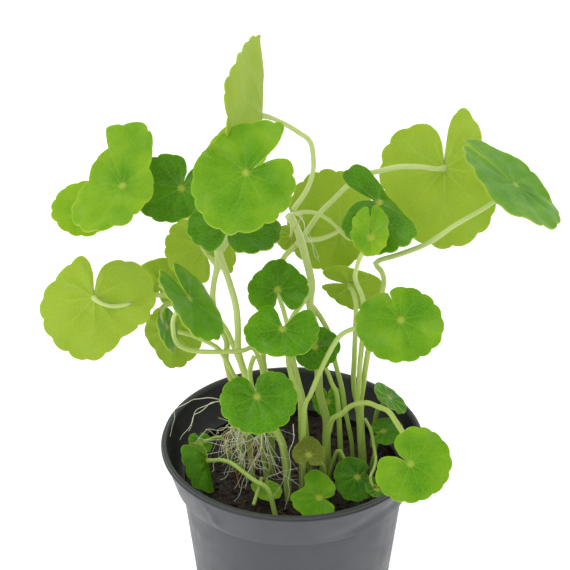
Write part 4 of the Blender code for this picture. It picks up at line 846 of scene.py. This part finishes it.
def potProfile():
    # radius and height of every point, up the outside, over the lip and down the inside
    base, body, foot, top, wall = [pot[key] for key in ("baseRadius", "bodyTop", "collarFoot", "collarTop",
                                                        "wall")]
    step, high, rim = pot["collarHeight"], pot["height"], pot["rimRadius"]
    lipFoot = high - pot["lipHeight"]
    beadFoot = lipFoot - pot["bead"]
    lipInside = rim - pot["lipWidth"]
    outside = [(0, 0), (base - 1, 0), (base - 0.3, 0.3), (base, 1), *slope((base, 1), (body, step), 24),
               (body, step - 0.3), (body + 0.3, step), (foot - 0.7, step), (foot - 0.2, step + 0.2),
               (foot, step + 0.8), *slope((foot, step + 0.8), (top, beadFoot - 0.3), 9)]
    # a thin bead runs under the lip and catches the light
    outside += [(top, beadFoot - 0.3), (rim - 0.1, beadFoot), (rim, beadFoot + 0.15),
                (rim, lipFoot - 0.15), (rim - 0.15, lipFoot)]
    lip = [(rim - 0.35, lipFoot + 0.05), (rim - 0.35, high - 0.4), (rim - 0.45, high - 0.12),
           (rim - 0.7, high), (lipInside, high), (lipInside - 0.25, high - 0.2)]
    inside = [(top - wall - 0.2, lipFoot), (foot - wall, step + wall + 0.6),
              (body - wall, step + wall - 1), (base - wall, pot["floor"]), (0, pot["floor"])]
    return outside + lip + inside


# What the collar and wall carry: moulding bumps, a faint mark and a long shallow dent. angle is in
# degrees round the pot and tilt in radians.
potSpots = (
    dict(angle=-129.5, height=69.3, long=2.6, wide=0.9, tilt=-0.9, depth=0.7),
    dict(angle=-127.2, height=64.6, long=2.4, wide=1.3, tilt=-1.0, depth=0.8),
    dict(angle=-89.5, height=66.6, long=1.2, wide=0.3, tilt=1.57, depth=0.35),
    dict(angle=-89.5, height=65.2, long=0.5, wide=0.5, tilt=0, depth=0.45),
    dict(angle=-52, height=65.2, long=13, wide=2.6, tilt=0.16, depth=-1),
)


def spotRelief(angle, radius, height):
    # how far the marks push the wall out there
    out = 0
    for spot in potSpots:
        around = math.radians(angle - spot["angle"]) * radius
        up = height - spot["height"]
        a = around * math.cos(spot["tilt"]) + up * math.sin(spot["tilt"])
        b = up * math.cos(spot["tilt"]) - around * math.sin(spot["tilt"])
        out += spot["depth"] * math.exp(-(a / spot["long"]) ** 2 - (b / spot["wide"]) ** 2)
    return out


def makePot():
    shape = newShape()
    verts = [shape.verts.new((radius, 0, height)) for radius, height in potProfile()]
    edges = [shape.edges.new(pair) for pair in zip(verts, verts[1:])]
    bmesh.ops.spin(shape, geom=verts + edges, axis=(0, 0, 1), cent=(0, 0, 0), angle=math.tau,
                   steps=pot["steps"], use_merge=True)
    bmesh.ops.remove_doubles(shape, verts=shape.verts, dist=0.001)
    bmesh.ops.recalc_face_normals(shape, faces=shape.faces)
    # the inside, the ledge inside the rim and the lip take the darker copies, which are painted shade
    darkTop = pot["collarTop"] - pot["wall"] / 2
    for face in shape.faces:
        middle = face.calc_center_median()
        radius = math.hypot(middle.x, middle.y)
        inward = face.normal.x * middle.x + face.normal.y * middle.y < -1
        face.material_index = 1 if inward or (face.normal.z > 0.8 and radius < darkTop) else 0
        if middle.z > pot["height"] - pot["lipHeight"]:
            face.material_index = 2
    levels = (0, pot["collarHeight"] - 0.01, pot["collarHeight"], pot["height"] - 1.6, pot["height"])
    walls = [pot[key] for key in ("baseRadius", "bodyTop", "collarFoot", "collarTop", "rimRadius")]
    for vert in shape.verts:
        radius = math.hypot(vert.co.x, vert.co.y)
        if radius < np.interp(vert.co.z, levels, walls) - 0.5:
            continue
        out = spotRelief(math.degrees(math.atan2(vert.co.y, vert.co.x)), radius, vert.co.z)
        vert.co.x *= 1 + out / max(radius, 1)
        vert.co.y *= 1 + out / max(radius, 1)
    finishPiece("pot.moulded", shape, [potGrey, potShadedInside, potShadedLip], ["pot"])


makePot()
print("pot made")


# Soil: a lumpy block of moist peat with crumbs and fibres on it. Ranges are the smallest and largest
# crumb and its shades, and the length, radius and shades of a fibre.
soil = dict(top=58.5, lump=0.6, cells=84, crumbs=700, crumbSize=(0.35, 1.1), crumbTone=(0, 0.35),
            rough=0.15, fibres=220, fibreLength=(3, 9), fibreRadius=(0.08, 0.18), fibreTone=(0.1, 0.6),
            fibreBends=6)


def soilHeight(x, y):
    lumps = 1.1 * noise.noise(Vector((x / 6, y / 6, 2))) + 0.6 * noise.noise(Vector((x / 2.2, y / 2.2, 7)))
    return soil["top"] + soil["lump"] * math.sin(0.35 * x + 1.3) * math.sin(0.3 * y + 0.4) + lumps * 0.7


def anywhere(chance, reach):
    # a chance point of the soil's top, within reach of its middle
    angle, far = chance.uniform(0, math.tau), reach * math.sqrt(chance.random())
    return far * math.cos(angle), far * math.sin(angle)


def addCrumb(shape, chance, reach):
    x, y = anywhere(chance, reach - 1.5)
    size = chance.uniform(*soil["crumbSize"])
    place = Matrix.Translation((x, y, soilHeight(x, y) + size * 0.2))
    turn = Matrix.Rotation(chance.uniform(0, 6), 4, Vector((chance.random(), chance.random(), 1)))
    flat = Matrix.Diagonal((size, size * chance.uniform(0.5, 1), size * chance.uniform(0.4, 0.8), 1))
    crumb = bmesh.ops.create_icosphere(shape, subdivisions=1, radius=1, matrix=place @ turn @ flat)
    shade = chance.uniform(*soil["crumbTone"])
    tone = shape.verts.layers.float["tone"]
    for vert in crumb["verts"]:
        vert.co += Vector([chance.uniform(-soil["rough"], soil["rough"]) * size for _ in range(3)])
        vert[tone] = shade


def addFibre(shape, chance, reach):
    x, y = anywhere(chance, reach - 4)
    way, length = chance.uniform(0, math.tau), chance.uniform(*soil["fibreLength"])
    points = []
    for _ in range(soil["fibreBends"]):
        way += chance.uniform(-0.5, 0.5)
        x += math.cos(way) * length / soil["fibreBends"]
        y += math.sin(way) * length / soil["fibreBends"]
        if math.hypot(x, y) > reach - 0.6:
            break
        points.append((x, y, soilHeight(x, y) + 0.15 + 0.5 * chance.random()))
    if len(points) > 2:
        radii = [chance.uniform(*soil["fibreRadius"])] * len(points)
        growTube(shape, points, radii, 4, 0, chance.uniform(*soil["fibreTone"]))


def makeSoil():
    shape = newShape()
    reach = pot["bodyTop"] - pot["wall"] - 0.3
    foot = pot["baseRadius"] - pot["wall"] - 0.6
    bmesh.ops.create_grid(shape, x_segments=soil["cells"], y_segments=soil["cells"], size=1)
    for vert in shape.verts:
        # the square grid becomes a disc
        x, y = vert.co.x, vert.co.y
        vert.co.x, vert.co.y = x * math.sqrt(1 - y * y / 2) * reach, y * math.sqrt(1 - x * x / 2) * reach
    grown = bmesh.ops.extrude_face_region(shape, geom=shape.faces[:])["geom"]
    top = {g for g in grown if isinstance(g, bmesh.types.BMVert)}
    for vert in shape.verts:
        if vert in top:
            vert.co.z = soilHeight(vert.co.x, vert.co.y)
        else:
            vert.co.z = pot["floor"] + 0.4
            vert.co.x *= foot / reach
            vert.co.y *= foot / reach
    bmesh.ops.recalc_face_normals(shape, faces=shape.faces)
    chance = random.Random(11)
    for _ in range(soil["crumbs"]):
        addCrumb(shape, chance, reach)
    for _ in range(soil["fibres"]):
        addFibre(shape, chance, reach)
    finishPiece("soil.peat", shape, [peatDark], ["soil"])


makeSoil()
print("soil made")

# Studio: a white floor, a white room round it and soft lamps above and in front. Places are in
# millimetres, and the lamps look at the plant's middle.
studio = dict(room="#ffffff", roomStrength=0.8, floor="#f7f7f7", floorSize=6000, floorGlow=0.4,
              lampSize=700, lookAt=(0, 0, 110),
              lamps=(("key lamp", (-450, -350, 800), 2.6), ("back lamp", (300, 700, 700), 1.2)))


def makeStudio():
    world = bpy.data.worlds.new("white room")
    world.use_nodes = True
    back = world.node_tree.nodes["Background"]
    back.inputs[0].default_value = linear(studio["room"])
    back.inputs[1].default_value = studio["roomStrength"]
    bpy.context.scene.world = world
    floorShape = bmesh.new()
    bmesh.ops.create_grid(floorShape, x_segments=4, y_segments=4, size=studio["floorSize"] / 2 * mm)
    mesh = bpy.data.meshes.new("floor")
    floorShape.to_mesh(mesh)
    floorShape.free()
    floor = bpy.data.objects.new("floor", mesh)
    floor.location.z = -0.5 * mm
    bpy.context.scene.collection.objects.link(floor)
    material, shader, _ = newMaterial("paper matt white")
    fillInputs(material, shader, {
        "Base Color": linear(studio["floor"]), "Roughness": 0.9,
        "Emission Color": linear(studio["room"]), "Emission Strength": studio["floorGlow"]})
    mesh.materials.append(material)
    for name, place, power in studio["lamps"]:
        lamp = bpy.data.objects.new(name, bpy.data.lights.new(name, "AREA"))
        lamp.data.energy = power
        lamp.data.size = studio["lampSize"] * mm
        lamp.location = Vector(place) * mm
        aim = Vector(studio["lookAt"]) - Vector(place)
        lamp.rotation_euler = aim.to_track_quat("-Z", "Y").to_euler()
        bpy.context.scene.collection.objects.link(lamp)


makeStudio()
bpy.context.scene.view_settings.view_transform = "Standard"
print("studio made")
